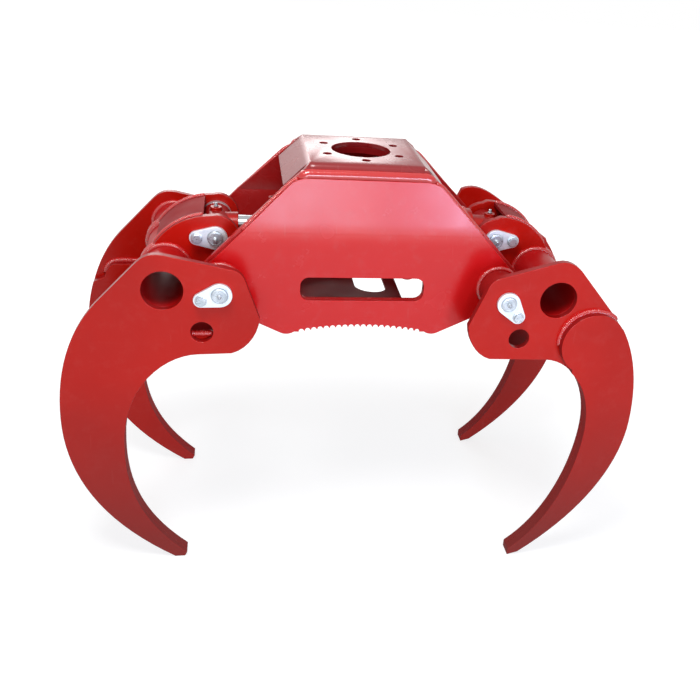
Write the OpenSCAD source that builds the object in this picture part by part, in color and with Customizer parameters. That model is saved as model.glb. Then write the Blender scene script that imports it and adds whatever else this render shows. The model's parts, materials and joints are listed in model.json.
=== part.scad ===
// Rotating log grapple with four tines, in millimetres, Z up.
// The grapple stands on its tine tips. Left is minus X, the near side is minus Y.
// Arm outlines are drawn about the pivot: first number outward, second number up.

/* [Overall] */
// Depth of the pivot axes under the top plate
pivot_drop = 245; // [180:1:340]
// Half the distance between the two pivot axes
pivot_half = 289; // [200:1:400]

/* [Top plate and rotator bolts] */
// Half width of the flat top plate
top_half = 115; // [90:1:160]
// Thickness of the top plate and the legs
saddle_t = 10; // [6:0.5:16]
// Thickness of the backing plate under the top
backing_t = 15; // [8:0.5:25]
// Gap between the backing plate edge and the start of the bend
backing_inset = 7; // [2:0.5:20]
// Radius of the centre hole in the top plate
centre_hole_r = 62; // [40:0.5:80]
// Radius of the rotator bolt circle
bolt_circle_r = 86.5; // [60:0.5:120]
// Number of rotator bolts
bolt_count = 6; // [4:1:12]
// Radius of each rotator bolt hole
bolt_hole_r = 8.75; // [5:0.25:14]

/* [Top plate edges and legs] */
// Depth of the rolled edge, down to the seam with the legs
bend_r = 16; // [8:1:30]
// Distance of the leg from the middle at the crease, outer face
leg_half = 145; // [110:1:200]
// Distance of the leg from the middle just under the top bend, outer face
leg_top_half = 127; // [90:1:160]
// Height of the crease over the pivot axes
crease_rise = 110; // [60:1:150]
// Depth of the leg end under the pivot axes
leg_end_fall = 77; // [40:1:120]
// Length of the sloped side flanges, along X
flange_reach = 52; // [20:1:100]
// Half width of the body at the crease
crease_half = 247; // [180:1:320]
// How far the doubler edge lies inside the leg edge
edge_step = 6; // [2:0.5:12]

/* [Doubler plates] */
// Thickness of the doubler plates
doubler_t = 10; // [6:0.5:16]
// Depth of the doubler top edge under the top plate
doubler_top_drop = 27; // [18:1:60]
// Radius of the doubler top corners
doubler_corner_r = 24; // [8:1:40]
// Radius of the rounded ear round each pivot
ear_r = 45; // [36:0.5:80]
// Distance of the lower lobe centre from the middle
lobe_x = 155; // [100:1:220]
// Depth of the lower lobe centre under the pivot axes
lobe_fall = 84; // [40:1:140]
// Radius of the lower lobe
lobe_r = 28; // [12:1:50]
// Half length of the toothed arc
teeth_half = 130; // [80:1:180]
// Depth of the arc crown under the pivot axes
arc_fall = 95; // [50:1:150]
// Rise of the toothed arc
arc_rise = 12; // [4:1:40]
// Inner end of the lower lobe, in degrees
lobe_end_angle = -126; // [-170:1:-90]
// Distance between two teeth
tooth_pitch = 13; // [8:0.5:20]
// Radius of the scallop between two teeth
tooth_r = 5.4; // [3:0.1:8]

/* [Slot in the doublers] */
// Half length of the slot
slot_half = 129; // [80:1:180]
// Height of the slot top over the pivot axes
slot_top_rise = 16; // [-20:1:60]
// Height of the slot
slot_h = 51; // [20:1:90]
// Corner radius of the slot
slot_r = 18; // [6:1:25]

/* [Belly plate] */
// Thickness of the belly plate
belly_t = 8; // [5:0.5:15]
// Left end of the belly plate
belly_left = -150; // [-200:1:-60]
// Right end of the belly plate
belly_right = 108; // [60:1:200]
// Gap between the belly plate and the toothed arc
belly_gap = 14; // [6:1:40]
// Middle of the belly opening
belly_open_x = 43; // [-80:1:80]
// Half width of the belly opening
belly_open_r = 36; // [15:1:60]
// Front end of the belly opening, centre of its round end
belly_open_y = 20; // [-80:1:60]

/* [Pivots] */
// Radius of the pivot and cylinder pins
pin_r = 20; // [12:0.5:30]
// Radial play between a pin and its bore
pin_play = 0.05; // [0.02:0.01:0.1]
// Wall of the pivot bushes
bush_wall = 4; // [2:0.5:8]
// Radius of the boss inside the body plates
boss_r = 33; // [24:0.5:50]
// Radius of the collar outside the body plates
collar_r = 40; // [30:0.5:60]
// Reach of the boss inward from the leg
boss_in = 8; // [0:1:40]
// Outer radius of the spacers beside the rod eye
spacer_r = 32; // [24:0.5:45]
// Length of the left collars outside the doublers
left_collar = 37.2; // [15:0.1:80]
// Length of the right collars outside the doublers
right_collar = 69.2; // [15:0.1:120]
// Side play between a collar and an arm plate
side_play = 0.8; // [0.4:0.1:3]

/* [Arm plates] */
// Thickness of the arm side plates
side_t = 15; // [8:0.5:25]
// Thickness of the tine blades
blade_t = 20; // [10:0.5:35]
// Torque tube centre from the pivot
tube_at = [108.4, 6.6]; // [-200:0.1:200]
// Inner radius of the torque tubes
tube_bore_r = 39.8; // [20:0.1:60]
// Wall of the torque tubes
tube_wall = 7; // [5:0.5:20]
// Small lower hole centre from the pivot
hole_at = [35, -82]; // [-200:1:200]
// Radius of the small lower hole
hole_r = 22; // [10:0.5:40]

/* [Top of the left arm plates] */
// Upper end of the inner lobe
left_lobe_upper = [-52, 20]; // [-400:1:400]
// First pull of the corner over the lobe
left_near_pull_a = [-46, 42]; // [-400:1:400]
// Second pull of the corner over the lobe
left_near_pull_b = [-36, 51]; // [-400:1:400]
// Near end of the top edge
left_top_near = [-16, 53]; // [-400:1:400]
// Far end of the top edge
left_top_far = [104, 79]; // [-400:1:400]
// First pull of the far corner
left_far_pull_a = [126, 84]; // [-400:1:400]
// Second pull of the far corner
left_far_pull_b = [142, 77]; // [-400:1:400]
// Start of the back slope
left_slope_top = [156, 62]; // [-400:1:400]

/* [Top of the front right arm plate] */
// Upper end of the inner lobe
right_lobe_upper = [-48, 24]; // [-400:1:400]
// First pull of the corner over the lobe
right_near_pull_a = [-44, 44]; // [-400:1:400]
// Second pull of the corner over the lobe
right_near_pull_b = [-34, 52]; // [-400:1:400]
// Near end of the top edge
right_top_near = [-12, 57]; // [-400:1:400]
// Far end of the top edge
right_top_far = [96, 89]; // [-400:1:400]
// First pull of the far corner
right_far_pull_a = [120, 95]; // [-400:1:400]
// Second pull of the far corner
right_far_pull_b = [140, 84]; // [-400:1:400]
// Start of the back slope
right_slope_top = [158, 62]; // [-400:1:400]

/* [Top of the rear right arm plate] */
// Foot of the raised top
rear_rise = [-12, 70]; // [-400:1:400]
// Near end of the raised top
rear_top_near = [0, 99]; // [-400:1:400]
// First pull of the raised top
rear_pull_a = [30, 113]; // [-400:1:400]
// Second pull of the raised top
rear_pull_b = [60, 105]; // [-400:1:400]
// Start of the rear back slope
rear_slope_top = [116, 65]; // [-400:1:400]

/* [Lobe of all arm plates] */
// Innermost point of the lobe
lobe_inner = [-78, -53]; // [-400:1:400]
// Start of the flat lobe bottom
lobe_bottom = [-10, -132]; // [-400:1:400]
// Pull of the lobe curve at its bottom
bottom_pull_a = [-47, -130]; // [-400:1:400]
// Pull of the lobe curve at its innermost point
bottom_pull_b = [-75, -93]; // [-400:1:400]

/* [Back of the tines] */
// End of the back slope
slope_end = [232, -20]; // [-400:1:400]
// First pull of the curve under the back slope
back_pull_a = [287, -81]; // [-700:1:700]
// Second pull of the curve under the back slope
back_pull_b = [315, -170]; // [-700:1:700]
// Widest point on the back of the tine
back_mid = [315, -278]; // [-700:1:700]
// Third pull of the left tine back
left_back_pull_c = [315, -410]; // [-700:1:700]
// Fourth pull of the left tine back
left_back_pull_d = [256, -536]; // [-700:1:700]
// Third pull of the right tine back
right_back_pull_c = [315, -395]; // [-700:1:700]
// Fourth pull of the right tine back
right_back_pull_d = [248, -525]; // [-700:1:700]

/* [Tips of the tines] */
// Lower corner of a tip, which sets the height of the pivots
tip_low = [80, -641]; // [-700:1:700]
// Outer corner of the left tips
left_tip_out = [101, -641]; // [-700:1:700]
// Inner corner of the left tips
left_tip_in = [75, -631]; // [-700:1:700]
// Outer corner of the right tips
right_tip_out = [105, -634]; // [-700:1:700]
// Inner corner of the right tips
right_tip_in = [80, -624]; // [-700:1:700]

/* [Inside of the left tines] */
// Start on the lobe bottom
left_throat = [45, -132]; // [-700:1:700]
// First pull
left_pull_a = [105, -134]; // [-700:1:700]
// Second pull
left_pull_b = [195, -200]; // [-700:1:700]
// Middle
left_mid = [195, -350]; // [-700:1:700]
// Third pull
left_pull_c = [197, -455]; // [-700:1:700]
// Fourth pull
left_pull_d = [170, -545]; // [-700:1:700]

/* [Inside of the right tines] */
// Start on the lobe bottom
right_throat = [100, -132]; // [-700:1:700]
// First pull
right_pull_a = [165, -134]; // [-700:1:700]
// Second pull
right_pull_b = [212, -205]; // [-700:1:700]
// Middle
right_mid = [213, -300]; // [-700:1:700]
// Third pull
right_pull_c = [213, -400]; // [-700:1:700]
// Fourth pull
right_pull_d = [176, -545]; // [-700:1:700]

/* [Blades] */
// Height of the flat top edge of the inner blades, from the pivot
inner_blade_top = -92; // [-160:1:-60]
// Inner end of the inner blades
inner_blade_end = -4; // [-60:1:60]
// Outer end of the inner blade top edge
inner_blade_far = 234; // [150:1:300]
// Centre of the round top of the outer blades
outer_blade_at = [195, -88]; // [-400:1:400]
// Radius of the round top of the outer blades
outer_blade_r = 70; // [40:1:120]

/* [Throat plates] */
// Thickness of the cross plate in the throat of an arm
throat_t = 10; // [5:0.5:20]
// Gap between the throat plate and the lobe bottom
throat_gap = 5; // [0:0.5:20]
// Inner end of the throat plate, from the pivot
throat_from = 13; // [0:1:40]
// Outer end of the throat plate, from the pivot
throat_to = 108; // [60:1:140]

/* [Lug plates] */
// Cylinder pin centre from the pivot
lug_at = [10, 73]; // [-200:1:200]
// Radius of the lug plate round the cylinder pin
lug_r = 47; // [30:1:70]
// Centre of the round back of the left lug plates
left_back_at = [17.5, -17]; // [-200:0.5:200]
// Radius of the round back of the left lug plates
left_back_r = 135; // [80:1:200]
// Centre of the round back of the right lug plates
right_back_at = [17, -4]; // [-200:0.5:200]
// Radius of the round back of the right lug plates
right_back_r = 129; // [80:1:200]
// Thickness of the lug plates
lug_t = 15; // [8:0.5:25]
// Outer face of the near left lug plate from the middle
left_near_face = 85; // [60:1:120]
// Outer face of the far left lug plate from the middle
left_far_face = 75; // [60:1:120]
// Outer face of the right lug plates from the middle
right_lug_face = 65; // [45:1:100]
// Thickness of the cover plate between the lugs
cover_t = 8; // [4:0.5:15]
// Lower inner corner of the lug plate
lug_inner = [70, -58]; // [-200:1:200]
// Start of the cover plate on the round back, in degrees
cover_from_angle = 33; // [-30:1:60]
// End of the cover plate on the round back, in degrees
cover_to_angle = 83; // [40:1:100]

/* [Pin flags] */
// Thickness of the flag plates
flag_t = 8; // [4:0.5:12]
// Radius of the large end of a flag
flag_r = 24.5; // [20:0.5:40]
// Radius of the small end of a flag
flag_small_r = 15; // [8:0.5:20]
// Distance between the two ends of a flag
flag_reach = 37; // [20:0.5:60]
// Radius of the pin spigot through a flag
spigot_r = 16; // [8:0.5:25]
// Height of the spigot over its flag
spigot_h = 3; // [1:0.5:8]
// Turn of the left pivot flags, in degrees
left_flag_angle = -16; // [-180:1:180]
// Turn of the right pivot flags, in degrees
right_flag_angle = -51; // [-180:1:180]
// Turn of the cylinder pin flags, in degrees
lug_flag_angle = 0; // [-180:1:180]
// Radius of a flag bolt shank
flag_bolt_r = 6; // [4:0.5:8]
// Radius of a flag bolt head, over its corners
flag_head_r = 10.4; // [6:0.1:14]
// Height of a flag bolt head
flag_head_h = 7.5; // [4:0.5:10]
// Depth of a flag bolt in its plate
flag_bolt_in = 12; // [6:0.5:20]
// Radius of a grease nipple foot
nipple_r = 5; // [3:0.5:8]
// Height of a grease nipple
nipple_h = 9; // [5:0.5:15]
// Chamfer on the pin ends
pin_chamfer = 2.5; // [1:0.5:5]

/* [Cylinder] */
// Outer radius of the barrel
barrel_r = 47.5; // [35:0.5:65]
// Inner radius of the barrel
bore_r = 40; // [28:0.5:55]
// Radius of the piston rod
rod_r = 20; // [12:0.5:30]
// Gland face from the rod pin
gland_gap = 108; // [60:1:160]
// Length of the gland outside the barrel
gland_out = 28; // [20:1:50]
// Barrel end from the pin of its own eye
base_gap = 61; // [45:1:100]
// Thickness of the barrel base
base_t = 16; // [8:1:30]
// Play of the parts that are fixed inside the cylinder
seat_play = 0.05; // [0.02:0.01:0.2]
// Length of the gland inside the barrel
gland_in = 15; // [8:1:40]
// Radius of the gland outside the barrel
gland_r = 44; // [30:0.5:60]
// Outer radius of the barrel eye
barrel_eye_r = 34; // [26:0.5:50]
// Half width of the barrel eye
barrel_eye_half = 48; // [20:1:70]
// Outer radius of the rod eye
rod_eye_r = 32; // [26:0.5:45]
// Half width of the rod eye
rod_eye_half = 45; // [20:1:70]
// Radius of the rod eye neck
rod_neck_r = 26; // [20:0.5:40]
// Length of the rod eye neck beyond the eye
rod_neck = 14; // [4:1:30]
// Depth of the rod in its eye neck
rod_seat = 10; // [4:1:30]
// Left face of the piston from the rod pin
piston_gap = 250; // [200:1:360]
// Length of the piston
piston_len = 40; // [20:1:70]
// Radial play of the piston in the bore
piston_play = 0.06; // [0.02:0.01:0.1]
// Radial play of the rod in the gland
rod_play = 0.05; // [0.02:0.01:0.1]
// Width of the piston seals
seal_w = 6; // [3:0.5:10]
// Depth of the piston seals
seal_deep = 4; // [2:0.5:8]
// Radius of the reduced rod end in the piston
rod_end_r = 14; // [8:0.5:18]
// Height of the piston nut
piston_nut_h = 16; // [8:1:25]
// Radius of the piston nut, over its corners
piston_nut_r = 23; // [15:0.5:30]
// Width of the wiper ring
wiper_w = 7; // [4:0.5:12]
// Depth of the wiper ring
wiper_deep = 5; // [3:0.5:8]
// Radius of a port boss
port_r = 13.5; // [10:0.5:25]
// Height of a port boss above the barrel
port_h = 16; // [8:1:30]
// Thread core radius of a port
port_bore_r = 8; // [4:0.5:14]
// Base side port from the end of the barrel
port_base_in = 33; // [20:1:80]
// Rod side port from the gland face
port_rod_in = 14; // [13:0.5:25]
// Depth of the rod side port from the cylinder axis
port_rod_floor = 28; // [26:0.5:40]
// Radius of the oil way from the rod side port to the cylinder
oil_way_r = 3; // [1.5:0.5:5]
// Height of the oil way over the cylinder axis
oil_way_rise = 33; // [28:0.5:37]
// Radius of the nipple boss on the eyes
eye_boss_r = 12; // [8:0.5:18]
// Height of the nipple boss over the eye
eye_boss_h = 6; // [2:0.5:12]

/* [Hidden] */

// Height of the pivot axes above the tine tips
pivot_height = -tip_low[1];
// Height of the top plate above the tine tips
top_height = pivot_height + pivot_drop;
// Depth of the crease under the top plate
crease_drop = pivot_drop - crease_rise;
// Depth of the leg ends under the top plate
leg_end_drop = pivot_drop + leg_end_fall;
// Depth of the lower lobe centre under the top plate
lobe_drop = pivot_drop + lobe_fall;
// Depth of the arc crown under the top plate
arc_drop = pivot_drop + arc_fall;
// Depth of the slot top under the top plate
slot_top_drop = pivot_drop - slot_top_rise;
// Outer face of the left arm side plates from the middle
left_face = leg_half + doubler_t + left_collar + side_play + side_t;
// Outer face of the right arm side plates from the middle
right_face = leg_half + doubler_t + right_collar + side_play + side_t;

// Names of the sub-parts
// Sub-part to draw, or all of them

// Facets of the exact round shapes
round_fn = 64;
// Facets of the small round shapes
small_fn = 32;
// Room that a cutting shape reaches past a face
cut = saddle_t;
// Outer face of the doublers from the middle
body_face = leg_half + doubler_t;
// Height of the cylinder axis
axis_z = pivot_height + lug_at[1];
// Distance of each cylinder pin from the middle
eye_x = pivot_half + lug_at[0];
// Gland face from the middle
gland_x = gland_gap - eye_x;
// Barrel end from the middle on the rod side
barrel_rod_end = gland_x + gland_out;
// Barrel end from the middle on the base side
barrel_base_end = eye_x - base_gap;
// Left face of the piston from the middle
piston_x = piston_gap - eye_x;
// Base side port from the middle
port_base_x = barrel_base_end - port_base_in;
// Rod side port from the middle, in the gland
port_rod_x = gland_x + port_rod_in;
// Radius of the toothed arc
arc_r = (teeth_half * teeth_half + arc_rise * arc_rise) / (2 * arc_rise);
// Half width of the flat top along Y
flat_half = leg_top_half - bend_r;
// Radius of the bore for a pin
pin_bore_r = pin_r + pin_play;
// Half width of the legs at the crease
leg_crease_half = crease_half + edge_step / sin(45);
// Fall of the side flanges, along the line of the leg edge
flange_fall = flange_reach * crease_drop / (leg_crease_half - top_half);
// Inner end of the body bosses from the middle
boss_end = leg_half - saddle_t - boss_in;

// Points on an arc
function arc(c, r, a0, a1, n) =
    [for (i = [0:n]) let (a = a0 + (a1 - a0) * i / n) c + r * [cos(a), sin(a)]];

// Points on a curve with two pulls, without its first point
function bend(a, b, c, d, n) =
    [for (i = [1:n]) let (t = i / n, s = 1 - t)
        s * s * s * a + 3 * s * s * t * b + 3 * s * t * t * c + t * t * t * d];

// A list of points in reverse order
function back(p) = [for (i = [len(p) - 1:-1:0]) p[i]];

// A list of points mirrored to the other side, in reverse order
function other_side(p) = [for (q = back(p)) [-q[0], q[1]]];

// Direction square to the line between two points
function square_to(a, b) = let (d = (b - a) / norm(b - a)) [d[1], -d[0]];

// Corner of an open chain moved sideways
function shift_corner(p, i, t) =
    i == 0 ? p[0] + t * square_to(p[0], p[1])
    : i == len(p) - 1 ? p[i] + t * square_to(p[i - 1], p[i])
    : let (a = square_to(p[i - 1], p[i]), b = square_to(p[i], p[i + 1]), m = (a + b) / norm(a + b))
        p[i] + m * t / (m * a);

// Open chain moved sideways
function shifted(p, t) = [for (i = [0:len(p) - 1]) shift_corner(p, i, t)];

// Closed outline of a plate that follows a chain
function strip(p, t) = concat(p, back(shifted(p, t)));

// Half of the bent leg, from the foot to the flat top, seen from the side
function leg_chain() = concat(
    [[-leg_half, -leg_end_drop], [-leg_half, -crease_drop], [-leg_top_half, -bend_r]],
    bend([-leg_top_half, -bend_r], [-leg_top_half, -bend_r * 0.45], [-flat_half - bend_r * 0.45, 0],
        [-flat_half, 0], 4));

// Half outline of the body seen from the front, from the crease to the bottom middle
function body_half(step, n) =
    let (c = [pivot_half, -pivot_drop], l = [lobe_x, -lobe_drop],
        p = [crease_half + step / sin(45), -crease_drop], r = ear_r + step,
        v = p - c, first = atan2(v[1], v[0]) - acos(r / norm(v)),
        d = l - c, last = atan2(d[1], d[0]) + acos((r - lobe_r) / norm(d)))
    concat([p], arc(c, r, first, last > 180 ? last - 360 : last, n),
        arc(l, lobe_r, last > 180 ? last - 360 : last, lobe_end_angle, 6),
        [for (i = [0:n - 1]) let (x = teeth_half * (1 - i / n))
            [x, -arc_drop - arc_r + sqrt(arc_r * arc_r - x * x)]]);

// Outline of the legs and the top plate seen from the front
function leg_outline() = let (h = concat([[top_half, 0]], body_half(edge_step, 12)))
    concat(h, [[0, -arc_drop]], other_side(h));

// Outline of a doubler seen from the front
function doubler_outline() =
    let (w = top_half + doubler_top_drop * (crease_half - top_half) / crease_drop,
        a = [w - doubler_corner_r * 1.1, -doubler_top_drop],
        b = [w + doubler_corner_r * 0.55, -doubler_top_drop - doubler_corner_r * 0.55],
        k = [w, -doubler_top_drop],
        h = concat([a], bend(a, (a + 2 * k) / 3, (b + 2 * k) / 3, b, 5), body_half(0, 20)))
    concat(h, [[0, -arc_drop]], other_side(h));

// Outline of an arm side plate and its tine, from its top, its back and its inside
function arm_outline(top, outer, inner) = concat(top, outer, [tip_low], back(inner), [inner[0]],
    bend(lobe_bottom, bottom_pull_a, bottom_pull_b, lobe_inner, 8));

// Top of an arm side plate, from the lobe to the back slope
function arm_top(lobe, near_a, near_b, near_end, far_end, far_a, far_b, slope) = concat([lobe],
    bend(lobe, near_a, near_b, near_end, 6), [far_end], bend(far_end, far_a, far_b, slope, 6),
    [slope_end]);

// Back of a tine, from the back slope to the tip
function tine_back(pc, pd, tip) = concat(bend(slope_end, back_pull_a, back_pull_b, back_mid, 14),
    bend(back_mid, pc, pd, tip, 18));

// Inside of a tine, from the lobe bottom to the tip
function tine_inside(throat, pa, pb, mid, pc, pd, tip) = concat([throat],
    bend(throat, pa, pb, mid, 14), bend(mid, pc, pd, tip, 18));

left_back = tine_back(left_back_pull_c, left_back_pull_d, left_tip_out);
right_back = tine_back(right_back_pull_c, right_back_pull_d, right_tip_out);
left_inside = tine_inside(left_throat, left_pull_a, left_pull_b, left_mid, left_pull_c, left_pull_d,
    left_tip_in);
right_inside = tine_inside(right_throat, right_pull_a, right_pull_b, right_mid, right_pull_c,
    right_pull_d, right_tip_in);
left_outline = arm_outline(arm_top(left_lobe_upper, left_near_pull_a, left_near_pull_b, left_top_near,
    left_top_far, left_far_pull_a, left_far_pull_b, left_slope_top), left_back, left_inside);
right_outline = arm_outline(arm_top(right_lobe_upper, right_near_pull_a, right_near_pull_b,
    right_top_near, right_top_far, right_far_pull_a, right_far_pull_b, right_slope_top),
    right_back, right_inside);
rear_right_outline = arm_outline(concat([right_lobe_upper, rear_rise, rear_top_near],
    bend(rear_top_near, rear_pull_a, rear_pull_b, rear_slope_top, 10), [slope_end]),
    right_back, right_inside);

// Plate of the given thickness from a face along Y
module sheet_y(from, t) {
    translate([0, from + t, 0])
    rotate([90, 0, 0])
    linear_extrude(height = t)
    children();
}

// Bar with a side outline, along X
module bar_x(from, length) {
    translate([from, 0, 0])
    rotate([90, 0, 90])
    linear_extrude(height = length)
    children();
}

// Round bar along Y
module round_y(r, from, to, fn = round_fn) {
    translate([0, from, 0])
    rotate([-90, 0, 0])
    cylinder(r = r, h = to - from, $fn = fn);
}

// Round bar along X
module round_x(r, from, to, fn = round_fn) {
    translate([from, 0, 0])
    rotate([0, 90, 0])
    cylinder(r = r, h = to - from, $fn = fn);
}

// Shape moved to the pivot of one side
module at_pivot(side) {
    translate([side * pivot_half, 0, pivot_height])
    mirror([side < 0 ? 1 : 0, 0, 0])
    children();
}

// The same shape at the near and at the far side
module near_and_far() {
    children();
    mirror([0, 1, 0])
    children();
}

// Slot with rounded ends through both legs, or through one doubler
module slot_cut(from, t) {
    z = top_height - slot_top_drop - slot_h / 2;
    sheet_y(from, t)
    translate([0, z])
    polygon(concat(
        arc([slot_half - slot_r, slot_h / 2 - slot_r], slot_r, 0, 90, 6),
        arc([slot_r - slot_half, slot_h / 2 - slot_r], slot_r, 90, 180, 6),
        arc([slot_r - slot_half, slot_r - slot_h / 2], slot_r, 180, 270, 6),
        arc([slot_half - slot_r, slot_r - slot_h / 2], slot_r, 270, 360, 6)));
}

// Both legs and the top as one bent plate, between two depths under the top
module bent_plate(upper, lower) {
    intersection() {
        translate([0, 0, top_height])
        bar_x(-pivot_half * 2, pivot_half * 4)
        polygon(concat(leg_chain(), other_side(leg_chain()),
            back(shifted(concat(leg_chain(), other_side(leg_chain())), saddle_t))));
        translate([0, 0, top_height])
        sheet_y(-leg_half * 2, leg_half * 4)
        polygon(leg_outline());
        translate([-pivot_half * 2, -leg_half * 2, top_height - lower])
        cube([pivot_half * 4, leg_half * 4, lower - upper]);
    }
}

module top_plate() {
    color("firebrick")
    difference() {
        union() {
            bent_plate(-cut, bend_r);
            translate([0, 0, top_height])
            sheet_y(-flat_half, flat_half * 2)
            polygon(strip([[-top_half - flange_reach, -flange_fall], [-top_half, 0],
                [top_half, 0], [top_half + flange_reach, -flange_fall]], saddle_t));
        }
        top_holes();
    }
}

// Bent leg plate at the near side
module leg() {
    color("firebrick")
    difference() {
        bent_plate(bend_r, arc_drop * 2);
        translate([-pivot_half * 2, 0, 0])
        cube([pivot_half * 4, leg_half * 2, top_height]);
        slot_cut(-leg_half * 2, leg_half * 2);
        for (side = [-1, 1]) at_pivot(side) round_y(boss_r, -leg_half * 2, 0);
    }
}

module front_leg() {
    leg();
}

module rear_leg() {
    mirror([0, 1, 0])
    leg();
}

// Centre hole and bolt holes of the rotator flange
module top_holes() {
    translate([0, 0, top_height - saddle_t - backing_t - cut]) {
        cylinder(r = centre_hole_r, h = saddle_t + backing_t + cut * 2, $fn = round_fn);
        for (i = [0:bolt_count - 1])
        rotate([0, 0, -90 + i * 360 / bolt_count])
        translate([bolt_circle_r, 0, 0])
        cylinder(r = bolt_hole_r, h = saddle_t + backing_t + cut * 2, $fn = small_fn);
    }
}

module top_backing_plate() {
    color("firebrick")
    difference() {
        translate([backing_inset - top_half, backing_inset - flat_half, top_height - saddle_t - backing_t])
        cube([(top_half - backing_inset) * 2, (flat_half - backing_inset) * 2, backing_t]);
        top_holes();
    }
}

// Bent plate on the outside of the near leg
module doubler() {
    color("firebrick")
    difference() {
        intersection() {
            translate([0, 0, top_height])
            bar_x(-pivot_half * 2, pivot_half * 4)
            polygon(strip([[-leg_half, -lobe_drop - lobe_r * 2], [-leg_half, -crease_drop],
                [-leg_top_half, -bend_r]], -doubler_t));
            translate([0, 0, top_height])
            sheet_y(-leg_half * 2, leg_half * 2)
            polygon(doubler_outline());
        }
        slot_cut(-leg_half * 2, leg_half * 2);
        for (side = [-1, 1]) at_pivot(side) round_y(boss_r, -leg_half * 2, 0);
        for (i = [0:floor(teeth_half / tooth_pitch) - 1]) for (side = [-1, 1])
        translate([side * tooth_pitch * (i + 0.5), 0, top_height - arc_drop - arc_r
            + sqrt(arc_r * arc_r - pow(tooth_pitch * (i + 0.5), 2))])
        round_y(tooth_r, -leg_half * 2, 0, small_fn);
    }
}

module front_doubler() {
    doubler();
}

module rear_doubler() {
    mirror([0, 1, 0])
    doubler();
}

module belly_plate() {
    r = arc_r + belly_gap;
    c = [0, -arc_drop - arc_r];
    wide = leg_half - saddle_t;
    color("firebrick")
    difference() {
        translate([0, 0, top_height])
        sheet_y(-wide, wide * 2)
        polygon(concat(
            arc(c, r, 90 - asin(belly_left / r), 90 - asin(belly_right / r), 14),
            arc(c, r + belly_t, 90 - asin(belly_right / r), 90 - asin(belly_left / r), 14)));
        translate([belly_open_x, belly_open_y, top_height - leg_end_drop - belly_t * 3])
        cylinder(r = belly_open_r, h = belly_t * 6, $fn = round_fn);
        translate([belly_open_x - belly_open_r, belly_open_y, top_height - leg_end_drop - belly_t * 3])
        cube([belly_open_r * 2, wide - belly_open_y - belly_open_r, belly_t * 6]);
    }
}

// Boss and collar round the near pivot, up to an arm plate
module collar(face) {
    end = face - side_t - side_play;
    difference() {
        union() {
            round_y(boss_r, -body_face, -boss_end);
            round_y(collar_r, -end, -body_face);
        }
        round_y(pin_r + bush_wall, -end - cut, cut - boss_end);
    }
}

module left_collars() {
    color("firebrick")
    near_and_far()
    at_pivot(-1)
    collar(left_face);
}

module right_collars() {
    color("firebrick")
    near_and_far()
    at_pivot(1)
    collar(right_face);
}

// Bush in a near collar
module bush(face) {
    end = face - side_t - side_play;
    difference() {
        round_y(pin_r + bush_wall, -end, -boss_end);
        round_y(pin_bore_r, -end - cut, cut - boss_end);
    }
}

module pivot_bushes() {
    color("goldenrod")
    near_and_far() {
        at_pivot(-1) bush(left_face);
        at_pivot(1) bush(right_face);
    }
}

// Side plate with its tine at the near side
module side_plate(outline, face, turn) {
    difference() {
        sheet_y(-face, side_t) polygon(outline);
        round_y(pin_bore_r, -face - cut, cut - face + side_t);
        translate([tube_at[0], 0, tube_at[1]])
        round_y(tube_bore_r, -face - cut, cut - face + side_t);
        translate([hole_at[0], 0, hole_at[1]])
        round_y(hole_r, -face - cut, cut - face + side_t);
        translate([flag_reach * cos(turn), 0, flag_reach * sin(turn)])
        round_y(flag_bolt_r, -face - cut, flag_bolt_in - face, small_fn);
    }
}

// Blade on the inside of a left side plate
module inner_blade() {
    near = inner_blade_end;
    far = inner_blade_far;
    top = inner_blade_top;
    r = hole_r;
    sheet_y(side_t - left_face, blade_t)
    intersection() {
        polygon(left_outline);
        polygon(concat([[near, tip_low[1] * 2], [near, top - r]],
            bend([near, top - r], [near, top - r / 2], [near + r / 2, top], [near + r, top], 4),
            bend([far, top], [far + r, top], [far + r * 1.5, top - r / 2],
                [far + r * 1.6, top - r * 1.5], 4),
            [[back_mid[0] * 1.2, top - r * 4], [back_mid[0] * 1.2, tip_low[1] * 2]]));
    }
}

// Blade on the outside of a right side plate
module outer_blade() {
    r = outer_blade_r;
    sheet_y(-right_face - blade_t, blade_t)
    intersection() {
        polygon(right_outline);
        polygon(concat(arc(outer_blade_at, r, 32, 238, 36),
            [outer_blade_at - [r * 0.53, r * 4], [0, right_pull_d[1]], [0, tip_low[1] * 2],
            [back_mid[0] * 1.2, tip_low[1] * 2], outer_blade_at + [r * 2.2, r * 0.53]]));
    }
}

// Torque tube between the side plates of one arm
module torque_tube(face) {
    translate([tube_at[0], 0, tube_at[1]])
    difference() {
        round_y(tube_bore_r + tube_wall, side_t - face, face - side_t);
        round_y(tube_bore_r, -face, face);
    }
}

// Cross plate between the two halves of an arm, over the lobe bottom
module throat_plate(half) {
    floor_z = lobe_bottom[1] + throat_gap;
    translate([throat_from, -half, floor_z])
    cube([throat_to - throat_from, half * 2, throat_t]);
}

// Lug plate of a cylinder pin, with its near face at the given place
module lug(face, at, r) {
    difference() {
        sheet_y(face, lug_t)
        polygon(concat(arc(at, r, -18, 90, 16), arc(lug_at, lug_r, 95, 225, 12), [lug_inner]));
        translate([lug_at[0], 0, lug_at[1]])
        round_y(pin_bore_r, face - cut, face + lug_t + cut);
        translate([tube_at[0], 0, tube_at[1]])
        round_y(tube_bore_r + tube_wall, face - cut, face + lug_t + cut);
        if (face < 0)
        translate([lug_at[0] + flag_reach * cos(lug_flag_angle), 0,
            lug_at[1] + flag_reach * sin(lug_flag_angle)])
        round_y(flag_bolt_r, face - cut, face + flag_bolt_in, small_fn);
    }
}

// Curved cover plate between the lugs of one arm
module lug_cover(from, to, at, r) {
    sheet_y(from, to - from)
    polygon(concat(arc(at, r, cover_from_angle, cover_to_angle, 12),
        arc(at, r - cover_t, cover_to_angle, cover_from_angle, 12)));
}

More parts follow.
